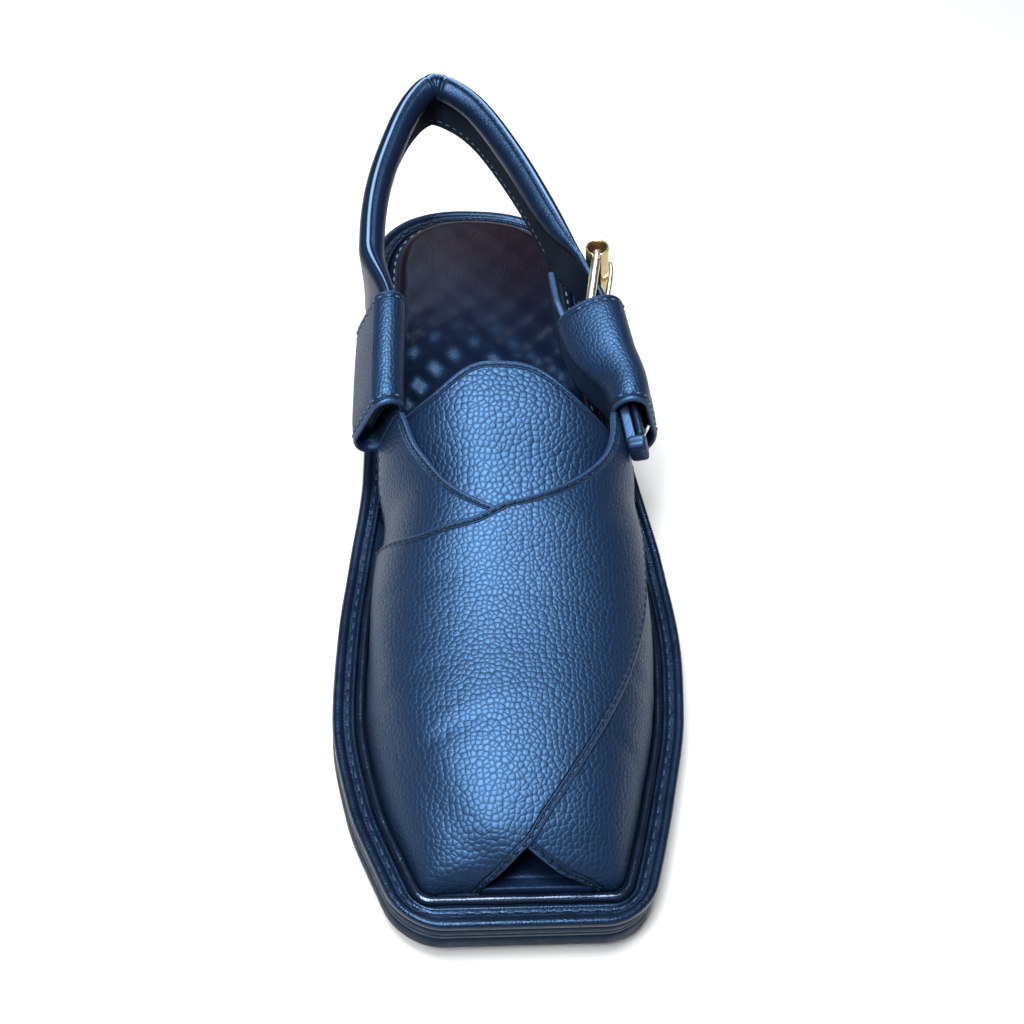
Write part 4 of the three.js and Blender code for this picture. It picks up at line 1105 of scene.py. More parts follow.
@dataclass(frozen=True)
class PadLeather(Finish):
    """Footbed leather, navy in front and of another colour towards the heel, finely wrinkled."""

    heel: Colour = NAVY

    def build(self) -> bpy.types.Material:
        """Colour goes over along the shoe; wrinkles and pores are bumps.

        Returns:
            The material.
        """
        n = Nodes("footbed_leather_" + str(round(self.heel[0] * 1e4)))
        split = n.add("SeparateXYZ", Vector=n.place())
        back = n.ramp(n.math("ADD", split.outputs[1], n.math("MULTIPLY", n.noise(30), 0.04)), 0.075, 0.155)
        colour = n.blend(back, NAVY, self.heel)
        pores = n.ramp(n.cells(0.0012, 0.0008), 0, 0.25)
        colour = n.blend(n.ramp(pores, 0, 1, 0.6, 1), (0.0022, 0.0022, 0.0036, 1), colour)
        wrinkle = n.bump(n.noise(70, 2), 0.0008, 0.3)
        n.set(Base_Color=colour, Roughness=n.ramp(n.noise(40), 0.3, 0.7, 0.34, 0.42),
              Normal=n.bump(pores, 0.00005, 0.5, wrinkle), Specular_IOR_Level=0.16,
              Specular_Tint=(0.24, 0.52, 1, 1), Coat_Weight=0.015, Coat_Roughness=0.3)
        return n.material


class Rim(Enum):
    """How a part of the sole's edge is finished."""

    GLOSSY = "glossy"
    BEAD = "bead"
    BANDED = "banded"
    RUBBER = "rubber"


@dataclass(frozen=True)
class SoleFinish(Finish):
    """Edge of the sole: inked welt, blue-grey midsole or grained rubber."""

    rim: Rim = Rim.RUBBER

    def build(self) -> bpy.types.Material:
        """Each kind has its own colour, gloss and grain.

        Returns:
            The material.
        """
        n = Nodes("sole_" + self.rim.value)
        skin, rough, coat, size = {
            Rim.GLOSSY: ((0.0020, 0.0040, 0.0095, 1), 0.32, 0.06, 0.0011),
            Rim.BEAD: ((0.0016, 0.0032, 0.0075, 1), 0.24, 0.45, 0.0014),
            Rim.BANDED: ((0.0024, 0.0058, 0.0130, 1), 0.48, 0.0, 0.0007),
            Rim.RUBBER: ((0.0018, 0.0034, 0.0072, 1), 0.6, 0.0, 0.0008),
        }[self.rim]
        pores = n.ramp(n.cells(size, size * 0.6), 0, 0.3)
        colour = n.blend(n.ramp(n.noise(90, 4), 0.35, 0.75, 0, 0.45), skin, darker(skin, 0.45))
        wavy = n.bump(n.noise(110, 2), 0.0006, 0.3)
        n.set(Base_Color=colour, Roughness=n.ramp(n.noise(200), 0.3, 0.7, rough - 0.06, rough + 0.08),
              Normal=n.bump(pores, 0.00007, 0.6, wavy), Specular_IOR_Level=0.34,
              Specular_Tint=(0.25, 0.52, 1, 1), Coat_Weight=coat, Coat_Roughness=0.25)
        return n.material


@dataclass(frozen=True)
class Thread(Finish):
    """Waxed thread, its twist by fine waves."""

    skin: Colour = (0.012, 0.02, 0.042, 1)

    def build(self) -> bpy.types.Material:
        """Colour by noise and fine ridges by bump.

        Returns:
            The material.
        """
        n = Nodes("thread_" + str(round(self.skin[2] * 100)))
        n.set(Base_Color=n.blend(n.noise(900), darker(self.skin, 0.5), self.skin), Roughness=0.55,
              Specular_IOR_Level=0.3, Specular_Tint=(0.4, 0.6, 1, 1),
              Normal=n.bump(n.noise(3000, 2), 0.0001, 0.7))
        return n.material


@dataclass(frozen=True)
class GoldPlate(Finish):
    """Pale gold plating with fine brushing and small dull spots."""

    dull: Colour = (0.66, 0.58, 0.42, 1)
    bright: Colour = (0.84, 0.79, 0.66, 1)

    def build(self) -> bpy.types.Material:
        """Roughness and colour wander slightly.

        Returns:
            The material.
        """
        n = Nodes("gold_plate_" + str(round(self.dull[0] * 100)))
        colour = n.blend(n.noise(220), self.dull, self.bright)
        n.set(Base_Color=colour, Metallic=1.0, Roughness=n.ramp(n.noise(500), 0.3, 0.7, 0.27, 0.36),
              Normal=n.bump(n.noise(1800, 2), 0.00002, 0.15))
        return n.material


@dataclass(frozen=True)
class FloorPaint(Finish):
    """Matt pale floor, warm enough to look white under the bluish lights."""

    def build(self) -> bpy.types.Material:
        """One colour, its roughness wandering slightly.

        Returns:
            The material.
        """
        n = Nodes("floor_paint")
        n.set(Base_Color=(0.375, 0.34, 0.32, 1), Roughness=n.ramp(n.noise(3), 0.3, 0.7, 0.7, 0.8))
        return n.material


@dataclass
class Sole:
    """Outsole, heel, midsole, welt and bead, with the welt's stitches."""

    welt_pitch: float = 4.6
    stitch_inset: float = 4.6
    bead_end: float = 0.462

    def build(self) -> None:
        """Makes and dresses every layer."""
        rubber = SoleFinish(Rim.RUBBER)
        outsole = softened([(0.25, 0), (0.1, 0.1), (0.05, 0.25), (0.04, 0.6), (0.08, 0.85), (0.16, 1)],
                           False, 14) * OUTSOLE
        layer([(a, b) for a, b in outsole]).piece("outsole_edge", rubber, "sole_edge", ("outsole",))
        block = layer([(2.4, 0.0), (1.7, 0.25), (1.4, 1.0), (1.2, 5.0), (1.0, -GAP)],
                      start=0.7, radius=3, from_floor=4, counts=(8, 60, 48))
        block.piece("heel_block", rubber, "sole_edge", ("heel",))
        edge = softened([(0.25, 0), (0.1, 0.12), (0.05, 0.3), (0.05, 0.44), (0.13, 0.5), (0.05, 0.56),
                         (0.05, 0.72), (0.1, 0.88), (0.22, 1)], False, 26) * MIDSOLE
        rows = [(a, OUTSOLE + GAP + b) for a, b in edge]
        rows += [(CHANNEL, OUTSOLE + GAP + MIDSOLE), (CHANNEL + 0.1, PLATEAU)]
        layer(rows).piece("midsole_edge", SoleFinish(Rim.BANDED), "sole_edge", ("midsole",))
        shape = softened([(0.1, 0.02), (0.02, 0.2), (0, 0.45), (0.03, 0.75), (0.1, 0.93), (0.19, 1),
                          (0.3, 0.98), (0.38, 0.9), (0.46, 0.7), (0.5, 0.64), (0.6, 0.67), (0.68, 0.6),
                          (0.78, 0.68), (0.86, 0.82), (0.92, 0.82), (0.985, 0.7), (1, 0.4), (0.98, 0.02),
                          (0.55, 0)], True, 60)
        rows = np.column_stack([shape[:, 0] * WELT_WIDTH, WELT_FOOT + shape[:, 1] * WELT])
        glossy = SoleFinish(Rim.GLOSSY)
        band(rows, (10, 110, 32)).piece("welt_rim", glossy, "welt_leather", ("welt",))
        self.welt_stitches().piece("welt_stitches", Thread(), "welt_leather")
        self.bead().piece("welt_bead", SoleFinish(Rim.BEAD), "welt_leather", ("rand",))

    def welt_stitches(self) -> Surface:
        """Stitches in the welt's channel, all the way round.

        Returns:
            The surface.
        """
        flat = once_round(self.stitch_inset)
        path = over_sole(np.vstack([flat, flat[:1]]), WELT_FOOT + WELT * 0.66 + 0.12)
        return stitches(path, UPWARD, self.welt_pitch, length=3.1, width=0.85)

    def bead(self) -> Surface:
        """Glossy bead from waist to waist round the toe: a circle that swells and sinks a little.

        Returns:
            The surface.
        """
        sides = [side_run(side, RAND_MIDDLE) for side in (-1, 1)]
        left, right = [run[run[:, 1] < along(self.bead_end)] for run in sides]
        path = over_sole(np.vstack([right[::-1], left]), SEAT + RAND_RADIUS)
        length = arc_length(path, 0)
        path = sampled(path, length, np.linspace(0, length[-1], 420))
        run_at = arc_length(path, 0)
        radius = RAND_RADIUS * (1 + 0.07 * np.sin(run_at / 2.9 + 1.3 * np.sin(run_at / 11)))
        radius *= edge_round(np.minimum(run_at, run_at[-1] - run_at), 1.6)
        return tube(path, radius, UPWARD, 14)


def tube(path: Array, radius: Array, up: Array, sides: int, ring: bool = False) -> Surface:
    """A round bar along a path: a circle square to the run at each point.

    Args:
        path: middle of the bar.
        radius: one radius, or one for each point.
        up: a way that is never along the path.
        sides: points round the circle.
        ring: whether the end joins the start.

    Returns:
        The surface, open at its ends unless the radius is nought there.
    """
    if ring:
        ahead = unit(np.roll(path, -1, 0) - np.roll(path, 1, 0))
    else:
        ahead = unit(np.gradient(path, axis=0))
    side = unit(np.cross(ahead, up))
    rise = np.cross(side, ahead)
    turn = full_turn(sides)[None, :, None]
    wide = np.broadcast_to(np.asarray(radius, float), (len(path),))[:, None, None]
    rows = path[:, None] + wide * (np.cos(turn) * side[:, None] + np.sin(turn) * rise[:, None])
    return Surface.grid(rows, ring_rows=ring, ring_columns=True)


@dataclass
class FootSupport:
    """Footbed and its padded heel seat."""

    round_in: float = 2.4
    margin: float = 3.3
    border_in: float = 2.1
    pad_start: float = 0.565
    crown: float = 0.9
    dimple: float = 1.05
    fold: float = 0.5
    opening: tuple[float, float] = (-15.5, 21.5)

    def build(self) -> None:
        """Makes the footbed, the pad and the stitches of its border."""
        t = np.linspace(0, 1, 9)
        rows = [(self.rim(self.round_in * (1 - math.sqrt(1 - a * a))), SEAT + FOOTBED * a) for a in t]
        layer(rows).piece("footbed_leather", PadLeather(), "footbed_leather", ("footbed",))
        self.front().piece("footbed_front", PadLeather(), "footbed_leather")
        pad = self.pad().piece("heel_seat_pad", PadLeather(RED_BROWN), "footbed_leather", ("heel_pad",))
        self.border().piece("seat_stitches", Thread((0.09, 0.13, 0.19, 1)), "footbed_leather")

    @staticmethod
    def rim(extra: float) -> Inset:
        """The footbed's inset: inside the upper in front, out to the welt's channel behind.

        Args:
            extra: mm that are added all round.

        Returns:
            The inset as a function of side and y.
        """
        def inset(_side: int, y: Array) -> Array:
            """The inset at a distance along."""
            return extra + mix(FOOTBED_INSET, CHANNEL, smooth_step((share(y) - 0.475) / 0.025))

        return inset

    def front(self) -> Surface:
        """Rounded front of the footbed in the opening at the toe.

        Two lines at their own insets from the toe are mixed along, and the height is the edge's
        quarter circle times the footbed's thickness. Both ends draw back under the straps.

        Returns:
            The surface.
        """
        first, last = self.opening
        x, t = np.meshgrid(mix(first, last, crowded(80)), crowded(24))

        def toe_line(inset: float) -> Array:
            """How far forward the outline drawn in by the inset lies at each x.

            Args:
                inset: how far the outline is drawn in, in mm.

            Returns:
                Distances along the shoe.
            """
            flat = np.vstack([side_run(-1, inset)[8::-1], side_run(1, inset)[:9]])
            order = np.argsort(flat[:, 0])
            return np.interp(x, flat[order, 0], flat[order, 1])

        away = np.minimum(x - first, last - x)
        drawn = 2.8 * smooth_step(1 - away / 3.2)
        y = mix(toe_line(RAND_MIDDLE + RAND_RADIUS + 0.2) + drawn, toe_line(FOOTBED_INSET + 1.4), t)
        ahead = y - y[:1]
        ahead[0] = 0
        base = underside(y) + SEAT
        top = base + FOOTBED * edge_round(ahead, 1.5)
        return Surface.sheet(np.stack([x, y, top], -1), np.stack([x, y, base], -1))

    def pad(self) -> Surface:
        """Stuffed pad: a crowned cushion whose side is a quarter circle, with soft dimples.

        Height is the rounded edge times the thickness, plus a crown by the distance in, less
        shallow bells where the stuffing has sunk, strongest towards the front.

        Returns:
            The surface.
        """
        counts = (16, 70, 40)
        edge = [side_run(s, CHANNEL + self.margin, self.pad_start, TOE_RADIUS, counts) for s in (-1, 1)]
        across = crowded(72)[None, :, None]
        flat = edge[0][:, None] * (1 - across) + edge[1][:, None] * across
        front = edge[0][:1, None] * (1 - across) + edge[1][:1, None] * across
        line = np.vstack([edge[0], edge[1][::-1], front[0]])
        away = nearest(np.pad(flat, ((0, 0), (0, 0), (0, 1))), np.pad(line, ((0, 0), (0, 1))))
        away = np.where(np.arange(flat.shape[0])[:, None] == 0, 0, away)
        away[:, 0] = away[:, -1] = 0
        rise = HEEL_PAD * edge_round(away, 4.5) + self.crown * smooth_step(away / 26)
        x, y = flat[..., 0], flat[..., 1]
        ahead = smooth_step((105 - y) / 60)
        dimples = np.sin(x / 2.3 + 0.7 * np.sin(y / 8)) * np.sin(y / 2.5 + 0.8 * np.sin(x / 9 + 1))
        rise += self.dimple * mix(0.07, 1, ahead) * dimples * smooth_step(away / 7)
        rise -= self.fold * bell(y - (36 + 0.004 * x * x), 1.6) * smooth_step(away / 3)
        base = underside(y) + PAD_FOOT
        top = base + np.maximum(rise, 0)
        return Surface.sheet(np.stack([x, y, top], -1), np.stack([x, y, base], -1))

    def border(self) -> Surface:
        """Stitches just outside the pad, from one waist round the heel to the other.

        Returns:
            The surface.
        """
        flat = once_round(CHANNEL + self.border_in, self.pad_start, TOE_RADIUS, (1, 120, 60))
        path = over_sole(flat, SEAT + FOOTBED + 0.05)
        return stitches(path, UPWARD, pitch=4.4, length=2.6, width=0.7)


@dataclass(frozen=True)
class StrapCut:
    """One broad strap: its outline on the last and how far it lies over it."""

    outline: StrapOutline
    climbs: bool
    bends: tuple[tuple[float, float, float, float, float], ...]

    def place(self, u: Array, v: Array) -> tuple[Array, Array]:
        """Girth and y inside the outline, blended from its four edges.

        The two long edges are mixed across, the two short ones along, and the mix of the four
        corners is taken away once.

        Args:
            u: share across, from the free edge to the sole.
            v: share along, from the toe to the sleeve.

        Returns:
            Girth and distance along the shoe.
        """
        o = self.outline

        def blend(column: str) -> Array:
            """One column of the place.

            Args:
                column: girth or at.

            Returns:
                Its value at each place.
            """
            toe = mix(o.front.column(column)[0], o.base.column(column)[0], u)
            corner = mix(o.rear.column(column)[0], o.base.column(column)[-1], u)
            sides = mix(o.front.read(column, v, "t"), o.base.read(column, v, "t"), u)
            ends = mix(toe, o.rear.read(column, u, "t"), v)
            return sides + ends - mix(toe, corner, v)

        return np.clip(blend("girth"), -1, 1), np.maximum(along(blend("at")), along(0) + UPPER_INNER)

    def lift(self, girth: Array, y: Array) -> Array:
        """How far it lies over the last, up on the lower strap where it covers that.

        Args:
            girth: place round the last.
            y: distance along the shoe.

        Returns:
            Heights in mm.
        """
        if not self.climbs:
            return np.zeros_like(y)
        rows = tuple(sorted(UNDER_STRAP.rear.rows[1:], key=lambda row: row[1]))
        rear = Table(UNDER_STRAP.rear.names, rows).read("at", girth, "girth")
        front = UNDER_STRAP.front.read("girth", share(y), "at")
        over_front = smooth_step((girth - front) / LIFT_GIRTH + 1)
        over_rear = smooth_step((rear - share(y)) / LIFT_AT + 1)
        return (STRAP_WALL - STRAP_SINK) * over_front * over_rear

    def crease(self, girth: Array, y: Array) -> Array:
        """Soft troughs and ridges of the walked-in leather, each a bell across its own line.

        Each is (girth, share of the length, slant, width, depth): a line through the place.

        Args:
            girth: place round the last.
            y: distance along the shoe.

        Returns:
            Heights in mm, below nought in a trough.
        """
        total = np.zeros_like(y)
        for at_girth, at, slant, width, depth in self.bends:
            across = (y - along(at)) - slant * (girth - at_girth) * 50
            reach = bell(girth - at_girth, 0.3)
            total += depth * reach * (bell(across, width) - 0.55 * bell(across - 1.9 * width, width))
        return -total

    def build(self, counts: tuple[int, int]) -> tuple[Surface, Array, Array]:
        """Two skins that meet in a rounded edge.

        Args:
            counts: points across and along.

        Returns:
            The surface, and the grid of points and normals of the outer skin.
        """
        u, v = np.meshgrid(crowded(counts[0]), crowded(counts[1]))
        girth, y = self.place(u, v)
        normal = last_normal(girth, y)
        foot = last_point(girth, y)
        base = self.lift(girth, y)
        middle = foot + normal * base[..., None]
        away = sealed(nearest(middle, *border(middle)))
        full = edge_round(away, STRAP_WALL / 2)
        crease = self.crease(girth, y) * smooth_step(away / 5)
        edge = nearest(middle, middle[:, 0], middle[-1])
        outer = middle + normal * (STRAP_WALL / 2 * (1 + full) + crease)[..., None]
        inner = middle + normal * (STRAP_WALL / 2 * (1 - full))[..., None]
        around, down = CHART.read(girth, y)
        values = {"edge": edge, "around": around, "down": down}
        return Surface.sheet(outer, inner, values), outer, normal


def row_inside(points: Array, normals: Array, distance: float, axis: int) -> tuple[Array, Array]:
    """The line on a grid that lies a distance in from its first row or column.

    Arc length is summed across the grid, and the place where it passes the distance is mixed
    from the points before and after.

    Args:
        points: grid of points.
        normals: normals of the same grid.
        distance: mm in from the edge.
        axis: the way across the edge.

    Returns:
        Points of the line and their normals.
    """
    grid, out = (points, normals) if axis == 1 else (points.swapaxes(0, 1), normals.swapaxes(0, 1))
    run = arc_length(grid, 1)
    k = np.clip((run < distance).sum(1) - 1, 0, run.shape[1] - 2)
    i = np.arange(len(run))
    t = ((distance - run[i, k]) / np.maximum(run[i, k + 1] - run[i, k], 1e-9))[:, None]
    return mix(grid[i, k], grid[i, k + 1], t), unit(mix(out[i, k], out[i, k + 1], t))


@dataclass(frozen=True)
class SleeveTube:
    """A flattened tube of leather that lies on the last."""

    rows: Table
    height: float
    thick: float
    belly: float = 0.0

    def axes(self, at: Array) -> tuple[Array, Array, Array]:
        """Where the flat plane touches the last, the way up it and the way out.

        Args:
            at: share of the length.

        Returns:
            The place and the two ways.
        """
        y, middle = along(at), self.rows.read("girth", at)
        foot = last_point(middle, y)
        rise = unit(last_point(middle - np.sign(middle) * 0.02, y) - foot)
        return foot, rise, last_normal(middle, y)

    def plane(self, at: Array, up: Array, off: Array) -> Array:
        """A place on the sleeve's flat plane, up and off."""
        foot, rise, out = self.axes(at)
        return foot + rise * np.asarray(up)[..., None] + out * np.asarray(off)[..., None]

    def place(self, at: Array, up: Array, off: Array) -> Array:
        """A place that follows the last's girth, up from the middle and off its surface.

        Args:
            at: share of the length.
            up: mm up from the middle.
            off: mm off the last.

        Returns:
            Places.
        """
        y, middle = along(at), self.rows.read("girth", at)
        h = 0.02
        per = np.linalg.norm(last_point(middle + h, y) - last_point(middle - h, y), axis=-1) / (2 * h)
        return on_last(middle - np.sign(middle) * (up / per), y, off)

    def ring(self, at: Array, shrink: Array, t: Array) -> Array:
        """The flattened outline: straight sides and round folds, t once round.

        The inner wall bellies towards the foot, more towards the rear mouth.

        Args:
            at: share of the length.
            shrink: mm in from the outer skin.
            t: share of the way round.

        Returns:
            Places.
        """
        thick = self.thick * self.rows.read("thick", at)
        height = self.height * self.rows.read("height", at)
        radius = thick / 2 - shrink
        turn = t * 2 * math.pi
        up = np.where(t < 0.5, 1, -1) * (height - thick) / 2 + radius * np.sin(turn)
        inner = ((1 + np.cos(turn)) / 2) ** 1.5 * self.belly * smooth_step((at - 0.535) / 0.085)
        return self.place(at, up, thick / 2 - SLEEVE_SINK - radius * np.cos(turn) - inner)

    def build(self) -> tuple[Surface, list[tuple[Array, Array]]]:
        """The wall between two skins, its mouths rounded.

        Returns:
            The surface and the stitch rows at both mouths, each a line and its normals.
        """
        steps, turns = 46, 90
        rows = self.rows.column("at")
        at = mix(rows[0], rows[-1], crowded(steps))[:, None]
        t = (np.arange(turns) / turns)[None]
        at, t = np.broadcast_arrays(at, t)
        away = np.minimum(at - rows[0], rows[-1] - at) * LENGTH
        full = edge_round(away, SLEEVE_WALL / 2)
        puff = 0.25 * bell(away - SEAM_IN, 1.0)
        outer = self.ring(at, SLEEVE_WALL / 2 * (1 - full) + puff * 0.5, t)
        inner = self.ring(at, SLEEVE_WALL / 2 * (1 + full), t)
        lengths = {"around": arc_length(outer, 1), "down": at * LENGTH}
        surface = Surface.joined([
            Surface.grid(outer, {"edge": away, **lengths}, ring_columns=True),
            Surface.grid(inner, {"edge": away + 9, **lengths}, turned=True, ring_columns=True)])
        sewn = []
        for place in (rows[0] + SEAM_IN / LENGTH, rows[-1] - SEAM_IN / LENGTH):
            turn = np.linspace(0.16, 0.84, 120)
            at = np.full(turn.shape, place)
            line = self.ring(at, np.zeros(turn.shape), turn)
            core = self.ring(at, np.full(turn.shape, 0.6), turn)
            sewn.append((line, unit(line - core)))
        return surface, sewn


INNER_SLEEVE = SleeveTube(
    Table("at girth height thick",
          ((0.524, -0.645, 1, 1.02), (0.59, -0.635, 1, 1), (0.652, -0.625, 0.98, 0.98))),
    24.0, 11.46)
OUTER_SLEEVE = SleeveTube(
    Table("at girth height thick",
          ((0.524, 0.672, 0.893, 0.703), (0.59, 0.685, 0.946, 0.85), (0.65, 0.695, 1, 1))),
    28.0, 18.5, 5.6)


@dataclass
class CrossedUpper:
    """The two crossing straps, the sleeve on each side and the tongue below them."""

    over_bends: tuple[tuple[float, float, float, float, float], ...] = (
        (-0.35, 0.165, 0.35, 2.6, 0.22), (-0.62, 0.225, 0.2, 3.0, 0.25),
        (0.25, 0.30, -0.25, 3.2, 0.14), (-0.5, 0.335, -0.1, 2.8, 0.18))
    under_bends: tuple[tuple[float, float, float, float, float], ...] = (
        (0.62, 0.16, -0.4, 2.6, 0.25), (0.72, 0.235, -0.25, 3.0, 0.25),
        (-0.45, 0.31, 0.2, 3.0, 0.2))
    stitch_in: float = SEAM_IN
    pitch: float = 3.1
    tongue_girth: float = 0.6

    def build(self) -> None:
        """Makes the straps, sleeves, tongue and every stitch row."""
        leather = PebbledLeather()
        rows = []
        for name, cut, replaced in (
            ("over_strap", StrapCut(OVER_STRAP, True, self.over_bends), ("upper",)),
            ("under_strap", StrapCut(UNDER_STRAP, False, self.under_bends), ()),
        ):
            surface, outer, normal = cut.build((120, 170))
            surface.piece(name, leather, "grain_leather", replaced)
            rows.append(row_inside(outer[2:-2], normal[2:-2], self.stitch_in, 1))
            rows.append(row_inside(outer[::-1, 2:-2], normal[::-1, 2:-2], self.stitch_in, 0))
        fine = PebbledLeather(0.0013, 0.00013)
        mouths = []
        for name, tube_cut in (("inner_sleeve", INNER_SLEEVE), ("outer_sleeve", OUTER_SLEEVE)):
            surface, sewn = tube_cut.build()
            surface.piece(name, fine, "grain_leather")
            mouths += sewn
        for name, lines, thread in (
            # The strap thread's near-black colour is partly painted shade: it stands for the dark stitch
            # holes as well as for the thread.
            ("strap_stitches", rows, Thread((0.0016, 0.0026, 0.006, 1))),
            ("sleeve_stitches", mouths, Thread((0.03, 0.055, 0.11, 1))),
        ):
            sewn = [stitches(line, out, self.pitch, length=1.9, width=0.95) for line, out in lines]
            Surface.joined(sewn).piece(name, thread, "grain_leather")
        coarse = PebbledLeather(0.0019, 0.00022)
        self.tongue().piece("tongue_leather", coarse, "grain_leather", ("tongue",))

    def tongue(self) -> Surface:
        """A sheet under the straps, its top edge a rounded peak that falls away by a bell.

        Returns:
            The surface.
        """
        u, v = np.meshgrid(crowded(130), crowded(110))
        girth = mix(-self.tongue_girth, self.tongue_girth, u)
        top = 0.55 - 0.038 * (1 - bell(girth, 0.25)) - 0.02 * girth
        y = along(mix(0.3, top, v))
        middle, normal = last_point(girth, y), last_normal(girth, y)
        full = sealed(edge_round(nearest(middle, *border(middle)), TONGUE_WALL / 2))
        edge = nearest(middle, middle[-1])
        core = middle - normal * (TONGUE_GAP + TONGUE_WALL / 2)
        half = normal * (TONGUE_WALL / 2 * full)[..., None]
        around, down = CHART.read(girth, y)
        values = {"edge": edge, "around": around, "down": down}
        return Surface.sheet(core + half, core - half, values)


SLEEVE_FLOOR = SLEEVE_WALL - SLEEVE_SINK
WIRE, CHAPE, PRONG = 3.2, 1.5, 2.2
HEEL_STRAP_WALL, ROLL_RADIUS = 2.4, 4.3
HEEL_STRAP_WIDTH, BILLET_WIDTH = 21.5, 14.5
FOLD_RADIUS = WIRE / 2 + GAP + CHAPE
HINGE_OFF = SLEEVE_FLOOR + 0.8 + FOLD_RADIUS
CHAPE_OFF = SLEEVE_FLOOR + 0.8 + CHAPE
BILLET_FRONT_OFF = CHAPE_OFF + CHAPE + HEEL_STRAP_WALL + 2 * GAP
BILLET_REAR_OFF = HINGE_OFF + FOLD_RADIUS + HEEL_STRAP_WALL + PRONG
BUCKLE_WIDTH = BILLET_WIDTH + WIRE + 1.9
BUCKLE_CORNER, ROLLER_OUTER, ROLLER_WALL = 2.4, 7.4, 0.6
HINGE_AT, STRAP_END = 0.638, 0.497
END_SHARE = 0.5
OFF_THE_ROLL = 999.0


